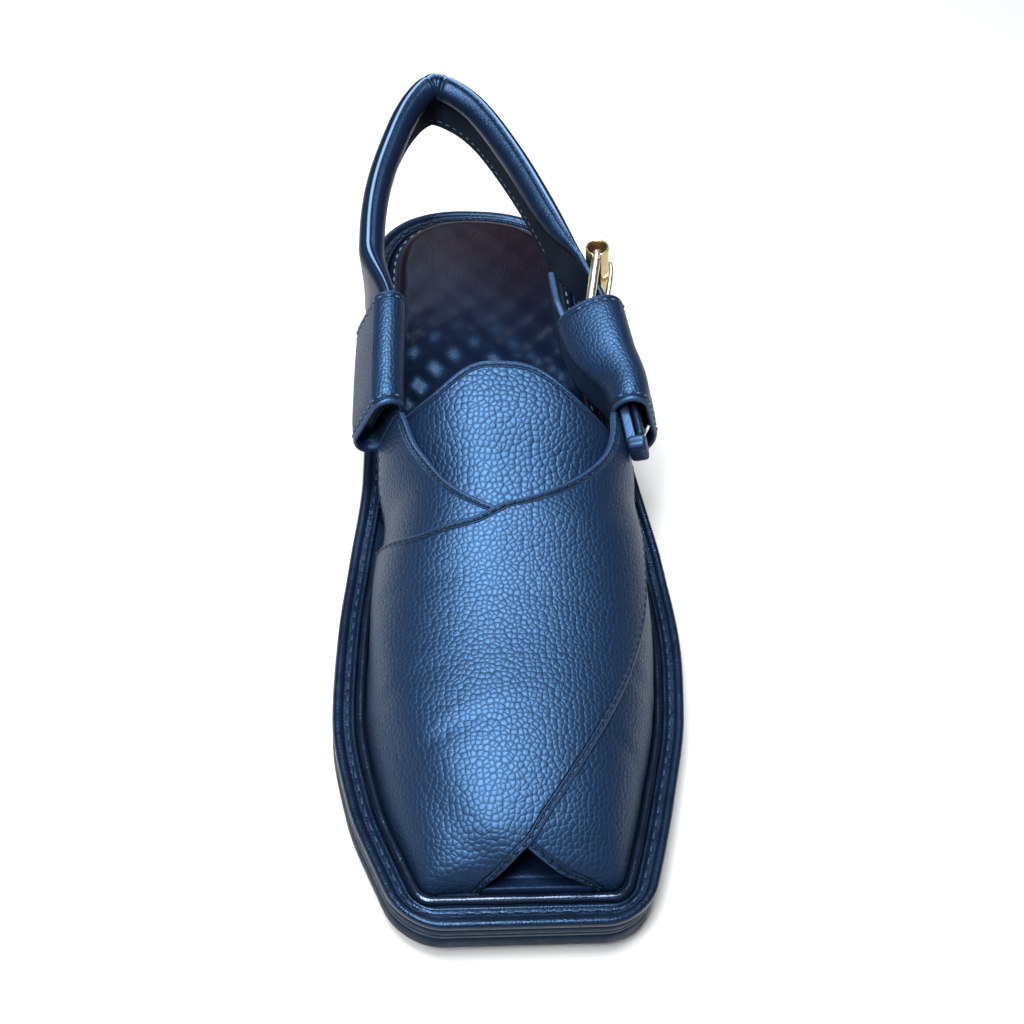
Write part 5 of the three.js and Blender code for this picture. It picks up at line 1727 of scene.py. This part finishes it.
@dataclass
class HeelStrap:
    """Padded strap from the inner sleeve round the heel into the outer sleeve."""

    lean: float = 3.0
    top: float = 98.2
    rear: float = 0.969
    slope: float = 0.277
    sections: int = 330
    pleats: tuple[float, ...] = (-5.5, 0.0, 5.0)
    pleat_depth: float = 0.75
    stitch_up: float = 2.6
    sewn: tuple[int, int] = (30, -70)

    def free_run(self) -> tuple[Array, Array, Array, Array, Array]:
        """The strap between the sleeves, at 31 places.

        Returns:
            Top edge, way inwards, way down, roll radius and width.
        """
        at, across = HEEL_STRAP_PLAN.column("at"), HEEL_STRAP_PLAN.column("across")
        y = along(at)
        fall = (along(self.rear) - y) * self.slope
        guide = np.column_stack([across * BALL_WIDTH, y, self.top - fall])
        count, step = 31, 1e-4
        t = np.linspace(0, 1, count)
        top = flow(guide, count)
        run = flow(guide, count, np.minimum(t + step, 1)) - flow(guide, count, np.maximum(t - step, 0))
        inward = unit(np.column_stack([run[:, 1], -run[:, 0], np.zeros(count)]))
        turned = (inward * (np.array([0, along(0.75), 0]) - top)).sum(1) < 0
        inward[turned] *= -1
        fills = Table("t roll", tuple(zip(np.linspace(0, 1, len(at)), HEEL_STRAP_PLAN.column("roll"))))
        fill = fills.read("roll", t, "t")
        width = mix(BILLET_WIDTH, HEEL_STRAP_WIDTH, smooth_step(fill))
        down = unit(np.array([0, 0, -1.0]) * width[:, None] + inward * self.lean)
        return top, inward, down, ROLL_RADIUS * fill, width

    @staticmethod
    def billet_off(at: Array) -> Array:
        """How far the strap's narrow end lies off the last."""
        return mix(BILLET_FRONT_OFF, BILLET_REAR_OFF, smooth_step((at - 0.54) / 0.12))

    def stations(self) -> tuple[Array, dict[str, Array]]:
        """Every station as one row of 11 numbers, and the two that carry the buckle.

        Returns:
            Rows of top, inward, down, roll and width, and the last free one and the mouth's.
        """
        top, inward, down, roll, width = self.free_run()
        free = np.column_stack([top, inward, down, roll, width])

        def passage(sleeve: SleeveTube, at: Array, up: float, off: Array, wide: Array,
                    round_: float) -> Array:
            """Stations inside a sleeve.

            Args:
                sleeve: the sleeve.
                at: shares of the length.
                up: mm from its middle to the strap's top.
                off: mm off the last.
                wide: width of the strap.
                round_: radius of its roll.

            Returns:
                Rows like those of the free run.
            """
            at = np.array(at)
            _foot, rise, out = sleeve.axes(at)
            place = sleeve.plane(at, np.full(len(at), up), np.broadcast_to(off, at.shape))
            wide = np.broadcast_to(wide, at.shape)
            return np.column_stack([place, -out, -rise, np.full(len(at), round_), wide])

        width_in, roll_in = 0.73 * HEEL_STRAP_WIDTH, 0.6 * ROLL_RADIUS
        inner = passage(INNER_SLEEVE, [0.535, 0.59, 0.66], 0.554 * width_in,
                        np.array(SLEEVE_FLOOR + GAP + 2 * roll_in), width_in, roll_in)
        places = np.array([0.66, 0.62, 0.58, 0.54, STRAP_END])
        drawn = BILLET_WIDTH * mix(END_SHARE, 1, smooth_step((places - STRAP_END) / 0.035))
        outer = passage(OUTER_SLEEVE, places, BILLET_WIDTH / 2, self.billet_off(places), drawn, 0.0)
        return np.vstack([inner, free, outer]), {"last": free[-1], "mouth": outer[0]}

    @staticmethod
    def section(roll: Array, width: Array) -> tuple[Array, Array, Array]:
        """Section of the band with the roll along its top inner edge.

        The outer face rises from a rounded foot, the roll is an arc from half a turn to where it
        meets the inner face, and the inner face goes down again. A welted line stands out of the
        arc, with a groove beside it.

        Args:
            roll: radius of the roll at each station.
            width: height of the band at each station.

        Returns:
            Places as (stations, points, 2), inward and down, then the arc's turn in degrees and
            whether a point is on the inner face, for each point.
        """
        wall = HEEL_STRAP_WALL
        radius = np.maximum(roll, wall / 2 + 0.02)[:, None]
        width = width[:, None]
        foot = 1.1
        rise = np.linspace(0, 1, 14)[None]
        outer = np.stack([np.zeros_like(width + rise), mix(width - foot, radius, rise)], -1)[:, :-1]
        finish = -np.arccos(np.clip(wall / radius - 1, -1, 1))
        arc_points, lap = 44, 3
        turn = mix(math.pi, finish, np.linspace(0, 1, arc_points)[None])
        degrees = np.degrees(turn)
        swell = roll[:, None] / ROLL_RADIUS
        welted = 0.3 * bell(degrees - 100, 7) - 0.4 * bell(degrees - 84, 7) - 0.25 * bell(degrees - 115, 6)
        around = radius + welted * swell
        arc = np.stack([radius + around * np.cos(turn), radius - around * np.sin(turn)], -1)
        down = mix(np.minimum(radius - radius * np.sin(finish), width - foot - 0.3), width - foot,
                   np.linspace(0, 1, 12)[None])
        inner = np.stack([np.full_like(down, wall), down], -1)[:, 1:]
        bend = np.linspace(0, math.pi, 12)[None, 1:-1]
        low = np.stack([wall / 2 + wall / 2 * np.cos(bend) + 0 * width,
                        width - foot + foot * np.sin(bend)], -1)
        places = np.concatenate([outer, arc, inner, low], 1)
        count, start = places.shape[1], outer.shape[1]
        angle = np.full((len(roll), count), OFF_THE_ROLL)
        angle[:, start:start + arc_points] = degrees
        lined = np.zeros(count)
        lined[start + arc_points - lap:-lap] = 1
        return places, angle, np.broadcast_to(lined, angle.shape)

    def build(self) -> None:
        """Makes the strap and the stitches along its lower edge.

        Where it leaves the inner sleeve, one station is drawn to its neighbours' middle and the
        next is left out, so that the strap has an easy run there.
        """
        rows, _places = self.stations()
        rows[2] = mix(rows[2], (rows[1] + rows[4]) / 2, 0.25)
        data = flow(np.delete(rows, 3, 0), self.sections)
        top, inward, down = data[:, :3], unit(data[:, 3:6]), unit(data[:, 6:9])
        roll, width = np.maximum(data[:, 9], 0), data[:, 10]
        section, angle, lined = self.section(roll, width)
        run = arc_length(top, 0)
        apex = run[np.argmax(top[:, 2])]
        gather = sum(bell(run - apex - p, 0.9) for p in self.pleats)[:, None]
        on_roll = bell((angle - 55) / 60.0, 1.0) * (roll / ROLL_RADIUS)[:, None]
        middle = np.maximum(roll, 1.2)[:, None]
        away = section - np.stack([middle, middle], -1)
        reach = np.linalg.norm(away, axis=-1, keepdims=True)
        section = section - away / np.maximum(reach, 1e-6) * (self.pleat_depth * gather * on_roll)[..., None]
        points = (top[:, None] + inward[:, None] * section[..., :1] + down[:, None] * section[..., 1:])
        swell = (roll / ROLL_RADIUS)[:, None]
        # Masks for the painted highlight on the welted ridge and for the painted shade in the groove beside
        # it.
        values = {"piping": bell(angle - 100, 8) * swell, "lined": lined,
                  "groove": bell(angle - 84, 7) * swell}
        body = Surface.grid(points, values, ring_columns=True)
        caps = [self.cap(points[0]), self.cap(points[-1])]
        Surface.joined([body] + caps).piece("heel_strap_leather", SmoothLeather(), "smooth_leather",
                                            ("heel_strap",))
        low = top + inward * (HEEL_STRAP_WALL + 0.05) + down * (width - self.stitch_up)[:, None]
        keep = slice(*self.sewn)
        stitches(low[keep], inward[keep], pitch=3.0, length=1.9, width=0.5).piece(
            "heel_strap_stitches", Thread((0.06, 0.07, 0.09, 1)), "smooth_leather")

    @staticmethod
    def cap(ring: Array) -> Surface:
        """A flat end: the ring drawn to its middle.

        Args:
            ring: points of the last section.

        Returns:
            The surface.
        """
        middle = ring.mean(0)
        return Surface.grid(np.stack([ring, mix(ring, middle, 0.5), np.tile(middle, (len(ring), 1))]),
                            ring_columns=True)


@dataclass
class RollerBuckle:
    """Frame, roller, prong, the short strap that holds them, guard tab and end ring."""

    strap: HeelStrap
    roller_share: float = 0.22
    roller_length: float = 23.0
    roller_wide: float = 7.8
    roller_lean: float = 0.24
    swing_out: float = 1.8
    seam_gap: float = 23.0
    arch: float = 1.4
    reach: float = 3.1
    wire_in: float = 1.1
    tab_height: float = 17.5
    tab_top: float = 8.2
    tab_off: float = 2.8
    tab_half: float = 1.05
    end_places: tuple[float, float, float] = (0.4915, 3.6, 5.6)
    end_halves: tuple[float, float, float] = (0.0062, 4.1, 3.1)
    ring_up: float = 6.4
    ring_off: float = 8.3
    ring_hang: float = 1.7
    ring_radii: tuple[float, float] = (2.4, 1.7)
    ring_wire: float = 0.4

    def places(self) -> dict[str, Array]:
        """Middles and ways of the hinge bar and of the roller, which leans and stands out.

        Returns:
            Places and ways by name.
        """
        _rows, ends = self.strap.stations()
        last, mouth, k = ends["last"], ends["mouth"], self.roller_share
        at = mix(last, mouth, k)
        down, outward = unit(at[6:9]), -unit(at[3:6])
        roller = at[:3] + down * at[10] / 2 + outward * (ROLLER_OUTER / 2 + 2 * GAP + self.swing_out)
        hinge = OUTER_SLEEVE.plane(np.array(HINGE_AT), np.array(0.0), np.array(HINGE_OFF))
        up = OUTER_SLEEVE.axes(np.array(HINGE_AT))[1]
        leaning = -unit(down + outward * self.roller_lean)
        return {"roller": roller, "roller_up": leaning, "out": outward, "hinge": hinge,
                "hinge_up": up, "run": unit(roller - hinge)}

    def build(self) -> None:
        """Makes and dresses every part of the buckle."""
        gold, leather = GoldPlate(), PebbledLeather()
        p = self.places()
        self.frame_wire(p).piece("buckle_wire", gold, "gold_metal", ("buckle_frame",))
        deep = GoldPlate((0.34, 0.24, 0.11, 1), (0.6, 0.47, 0.26, 1))
        self.rolled_tube(p).piece("roller_tube", deep, "gold_metal", ("buckle_roller",))
        self.pin(p).piece("prong_wire", gold, "gold_metal", ("buckle_prong",))
        self.short_strap().piece("buckle_strap_fold", leather, "grain_leather", ("buckle_strap",))
        self.tab().piece("guard_tab_leather", leather, "grain_leather", ("guard_tab",))
        self.binding().piece("strap_end_binding", leather, "grain_leather")
        self.ring().piece("end_ring_wire", gold, "gold_metal", ("end_ring",))

    def frame_wire(self, p: dict[str, Array]) -> Surface:
        """A closed wire round four corners, each rounded by a bend of second degree.

        Args:
            p: places and ways by name.

        Returns:
            The surface.
        """
        half = BUCKLE_WIDTH / 2
        hinge = p["hinge"] - p["out"] * self.wire_in
        corners = [hinge + p["hinge_up"] * half, p["roller"] + p["roller_up"] * half,
                   p["roller"] - p["roller_up"] * half, hinge - p["hinge_up"] * half]
        t = np.linspace(0, 1, 12)[:, None]
        points = []
        for i, corner in enumerate(corners):
            a = corner + unit(corners[i - 1] - corner) * BUCKLE_CORNER
            b = corner + unit(corners[(i + 1) % 4] - corner) * BUCKLE_CORNER
            points.append((1 - t) ** 2 * a + 2 * t * (1 - t) * corner + t * t * b)
        return tube(np.vstack(points), WIRE / 2, unit(np.cross(p["hinge_up"], p["run"])), 20, ring=True)

    def rolled_tube(self, p: dict[str, Array]) -> Surface:
        """Thin sheet rolled round the bar, its open seam turned towards the hinge.

        The section goes round the outside, over a rounded lip, and back inside. The tube is
        carried along the bar and closed at both ends by the sheet's own thickness.

        Args:
            p: places and ways by name.

        Returns:
            The surface.
        """
        gap = math.radians(self.seam_gap)
        axis = p["roller_up"]
        front = p["hinge"] - p["out"] * self.wire_in - p["roller"]
        front = unit(front - axis * (front @ axis))
        side = np.cross(axis, front)
        turn = np.linspace(gap, 2 * math.pi - gap, 60)
        lip = np.linspace(0, math.pi, 6)[1:-1]
        middle, half = self.roller_wide / 2 - ROLLER_WALL / 2, ROLLER_WALL / 2
        radius = np.concatenate([np.full(turn.shape, middle + half),
                                 middle + half * np.cos(lip), np.full(turn.shape, middle - half),
                                 middle - half * np.cos(lip)])
        angle = np.concatenate([turn, turn[-1] + half / middle * np.sin(lip), turn[::-1],
                                turn[0] - half / middle * np.sin(lip)])
        ring = radius[:, None] * (np.cos(angle)[:, None] * front + np.sin(angle)[:, None] * side)
        core = middle * (np.cos(angle)[:, None] * front + np.sin(angle)[:, None] * side)
        t = np.concatenate([[-1, -1, -0.985], np.linspace(-0.97, 0.97, 12), [0.985, 1, 1]])
        thin = np.array([0, 0.8, 0.97] + [1] * 12 + [0.97, 0.8, 0])[:, None, None]
        rows = (p["roller"] + axis * t[:, None, None] * self.roller_length / 2
                + core[None] * (1 - thin) + ring[None] * thin)
        return Surface.grid(rows, ring_columns=True)

    def pin(self, p: dict[str, Array]) -> Surface:
        """The prong: a tapering wire from the hinge, arched outwards and over the roller.

        Args:
            p: places and ways by name.

        Returns:
            The surface.
        """
        rest = p["roller"] + p["out"] * (ROLLER_OUTER / 2 + GAP + PRONG / 2)
        guide = np.array([p["hinge"] + p["run"] * (WIRE / 2 + GAP + PRONG / 2),
                          mix(p["hinge"], rest, 0.5) + p["out"] * self.arch,
                          rest - p["run"] * self.reach, rest,
                          rest + p["run"] * self.reach - p["out"] * PRONG / 4])
        path = flow(guide, 60)
        run = arc_length(path, 0)
        radius = PRONG / 2 * (1 - 0.25 * run / run[-1]) * edge_round(run[-1] - run, 1.1)
        radius = radius * edge_round(run, 0.8)
        pin = tube(path, radius, p["hinge_up"], 16)
        turn = full_turn(40)[:, None]
        side = np.cross(p["hinge_up"], p["run"])
        eye = p["hinge"] + (WIRE / 2 + GAP + PRONG / 4) * (np.cos(turn) * p["run"] + np.sin(turn) * side)
        return Surface.joined([pin, tube(eye, PRONG / 2 * 0.6, p["hinge_up"], 12, ring=True)])

    def short_strap(self) -> Surface:
        """Two layers run forward from a round fold about the hinge bar.

        The contour is drawn from the side, as distances forward of the bar and off the last, and
        carried across the strap with its two edges drawn in.

        Returns:
            The surface.
        """
        ahead = (HINGE_AT - STRAP_END) * LENGTH + 1.5
        turn = np.linspace(0.3 * math.pi, 1.7 * math.pi, 40)

        def level(x: Array) -> Array:
            """How far the middle of the layers lies off the last."""
            return mix(HINGE_OFF, CHAPE_OFF, smooth_step(x / 18))

        def about_bar(radius: float) -> Array:
            """The fold's arc at a radius from the hinge bar."""
            return np.stack([radius * np.cos(turn), HINGE_OFF + radius * np.sin(turn)], -1)

        runs = np.linspace(FOLD_RADIUS + CHAPE, ahead, 30)
        tip = np.linspace(-1, 1, 9)
        near_end = np.stack([ahead + 0.7 * np.sqrt(1 - tip**2), level(ahead) + CHAPE * tip], -1)[1:-1]
        outer = np.vstack([about_bar(FOLD_RADIUS), np.stack([runs, level(runs) - CHAPE], -1), near_end,
                           np.stack([runs, level(runs) + CHAPE], -1)[::-1]])
        width = BUCKLE_WIDTH - 2 * BUCKLE_CORNER - 0.8
        up = np.concatenate([[-1, -1, -0.99], np.linspace(-0.96, 0.96, 14), [0.99, 1, 1]]) * width / 2
        thin = np.array([0, 0.55, 0.9] + [1.0] * 14 + [0.9, 0.55, 0])
        spine = np.stack([outer[:, 0], np.where(outer[:, 0] > FOLD_RADIUS + 1, level(outer[:, 0]),
                                                 outer[:, 1])], -1)
        spine[:len(turn)] = about_bar(FOLD_RADIUS - CHAPE / 2)
        flat = spine[None] * (1 - thin)[:, None, None] + outer[None] * thin[:, None, None]
        drawn = mix(1, END_SHARE, smooth_step((flat[..., 0] - ahead + 12) / 10))
        high = width / 2 - (width / 2 - up[:, None]) * drawn
        rows = OUTER_SLEEVE.plane(HINGE_AT - flat[..., 0] / LENGTH, high, flat[..., 1])
        away = np.minimum(np.abs(ahead - flat[..., 0]), (width / 2 - np.abs(up))[:, None])
        values = {"edge": away, "around": flat[..., 0] + flat[..., 1], "down": up[:, None]}
        return Surface.grid(rows, values, ring_columns=True)

    def tab(self) -> Surface:
        """Squared thin strip between foot and sleeve, its rear end rounded off below.

        Returns:
            The surface.
        """
        t, k = np.meshgrid(crowded(70), crowded(30), indexing="ij")
        fall = smooth_step((t - 0.45) / 0.55)
        height = self.tab_height * np.sqrt(1 - 0.97 * fall * fall)
        at, up = mix(0.6, 0.712, t), self.tab_top - height * k
        middle = OUTER_SLEEVE.plane(at, up, np.full(at.shape, -self.tab_off))
        away = nearest(middle, *border(middle))
        full = sealed(edge_round(away, 0.35))
        out = OUTER_SLEEVE.axes(at)[2]
        values = {"edge": away, "around": up, "down": at * LENGTH}
        half = out * (self.tab_half * full)[..., None]
        return Surface.sheet(middle + half, middle - half, values)

    def binding(self) -> Surface:
        """Folded leather end round both layers: a squared ring of the fifth power, closed in front.

        The section across the layers is carried along the strap, drawn in at both ends by the
        same power.

        Returns:
            The surface.
        """
        turn = full_turn(48)[None]

        def squared(v: Array) -> Array:
            """A sine or cosine pushed out towards a square."""
            return np.sign(v) * np.abs(v) ** 0.4

        step = np.linspace(-1, 1, 22)[:, None]
        draw = (1 - np.abs(step) ** 5) ** 0.2
        off = self.end_places[2] + self.end_halves[2] * draw * squared(np.cos(turn))
        up = self.end_places[1] + self.end_halves[1] * draw * squared(np.sin(turn))
        at = np.broadcast_to(self.end_places[0] + self.end_halves[0] * step, off.shape)
        rows = OUTER_SLEEVE.plane(at, up, off)
        values = {"edge": np.full(off.shape, 9.0), "around": up, "down": at * LENGTH}
        return Surface.grid(rows, values, ring_columns=True)

    def ring(self) -> Surface:
        """Small leaning oval ring at the upper outer corner of the strap's bound end.

        Returns:
            The surface.
        """
        end = np.array(STRAP_END)
        _foot, rise, out = OUTER_SLEEVE.axes(end)
        lean = unit(0.7 * out + rise)
        ahead = unit(0.6 * rise + np.array([0.0, -0.8, 0]))
        corner = OUTER_SLEEVE.plane(end, np.array(self.ring_up), np.array(self.ring_off))
        turn = full_turn(48)[:, None]
        long, short = self.ring_radii
        path = corner + lean * self.ring_hang + long * np.cos(turn) * lean + short * np.sin(turn) * ahead
        return tube(path, self.ring_wire, unit(np.cross(lean, ahead)), 12, ring=True)


DAYLIGHT = (0.84, 0.94, 1.0)


@dataclass(frozen=True)
class Lamp:
    """A soft light of two sides that looks at the shoe."""

    name: str
    place: tuple[float, float, float]
    size: tuple[float, float]
    power: float
    tint: tuple[float, float, float] = DAYLIGHT

    def build(self) -> None:
        """Makes the light and turns it towards the shoe."""
        lamp = bpy.data.lights.new(self.name, "AREA")
        lamp.shape = "RECTANGLE"
        lamp.size, lamp.size_y = self.size
        lamp.energy, lamp.color = self.power, self.tint
        made = placed(self.name, lamp)
        made.location = self.place
        way = Vector((0, 0, 0.04)) - Vector(self.place)
        made.rotation_euler = way.to_track_quat("-Z", "Y").to_euler()


@dataclass
class Studio:
    """Floor, soft lights and the camera at the photograph's angle."""

    station: tuple[float, float, float] = (-57.2, -338.0, 422.0)
    pitch: float = 0.883
    roll: float = 0.005
    aim: tuple[float, float] = (687.0, 497.0)
    focal: float = 1498.0
    closer: float = 1.04
    picture: float = 1024.0
    sky_power: float = 0.07
    floor_half: float = 2.0
    lamps: tuple[Lamp, ...] = (
        Lamp("key", (-0.1, -0.04, 1.1), (0.36, 0.6), 40.0),
        Lamp("left", (-0.4, -0.5, 0.96), (0.36, 0.4), 23.0),
        Lamp("back", (-0.1, 1.0, 0.75), (0.22, 0.22), 2.2, (0.9, 0.95, 1.0)),
        Lamp("front", (0.3, -1.1, 0.9), (0.7, 0.5), 1.6, (1.0, 1.0, 1.0)),
    )

    def build(self) -> None:
        """Sets up everything round the shoe."""
        self.floor()
        self.camera()
        bpy.context.scene.view_settings.view_transform = "Standard"
        world = bpy.data.worlds.new("studio")
        bpy.context.scene.world = world
        world.use_nodes = True
        self.sky(world.node_tree)
        for lamp in self.lamps:
            lamp.build()

    def sky(self, tree: bpy.types.NodeTree) -> None:
        """White where the camera looks past the floor, dimmer and bluish as light.

        Args:
            tree: the world's nodes.
        """
        rays, pick = tree.nodes.new("ShaderNodeLightPath"), tree.nodes.new("ShaderNodeMixShader")
        seen, soft = tree.nodes.new("ShaderNodeBackground"), tree.nodes["Background"]
        seen.inputs["Color"].default_value = (1, 1, 1, 1)
        soft.inputs["Color"].default_value = (0.7, 0.86, 1, 1)
        soft.inputs["Strength"].default_value = self.sky_power
        tree.links.new(rays.outputs["Is Camera Ray"], pick.inputs[0])
        tree.links.new(soft.outputs[0], pick.inputs[1])
        tree.links.new(seen.outputs[0], pick.inputs[2])
        tree.links.new(pick.outputs[0], tree.nodes["World Output"].inputs["Surface"])

    def floor(self) -> None:
        """A wide level floor at the shoe's foot."""
        mesh = bpy.data.meshes.new("floor")
        h = self.floor_half
        mesh.from_pydata([(-h, -h, 0), (h, -h, 0), (h, h, 0), (-h, h, 0)], [], [(0, 1, 2, 3)])
        made = placed("floor", mesh)
        mesh.materials.append(FloorPaint().material())

    def camera(self) -> None:
        """Keeps the photograph's station and turns the camera towards the one shoe."""
        ahead = Vector((0, math.cos(self.pitch), -math.sin(self.pitch)))
        right = Vector((1, 0, 0))
        up = right.cross(ahead)
        c, s = math.cos(self.roll), math.sin(self.roll)
        right, up = c * right + s * up, -s * right + c * up
        across, down = (self.aim[0] - self.picture / 2), (self.aim[1] - self.picture / 2)
        aim = (ahead + right * (across / self.focal) - up * (down / self.focal)).normalized()
        turn = ahead.rotation_difference(aim).to_matrix()
        basis = Matrix((turn @ right, turn @ up, -(turn @ ahead))).transposed()
        lens = bpy.data.cameras.new("camera")
        lens.sensor_width, lens.sensor_fit = 36.0, "HORIZONTAL"
        lens.lens = self.focal / self.picture * lens.sensor_width * self.closer
        made = placed("camera", lens)
        made.matrix_world = Matrix.Translation(Vector(self.station) * MM) @ basis.to_4x4()
        bpy.context.scene.camera = made


def main() -> None:
    """Builds the studio and every sub-assembly."""
    logging.basicConfig(level=logging.INFO, format="%(message)s")
    Studio().build()
    Sole().build()
    FootSupport().build()
    CrossedUpper().build()
    strap = HeelStrap()
    strap.build()
    RollerBuckle(strap).build()


if __name__ == "__main__":
    main()
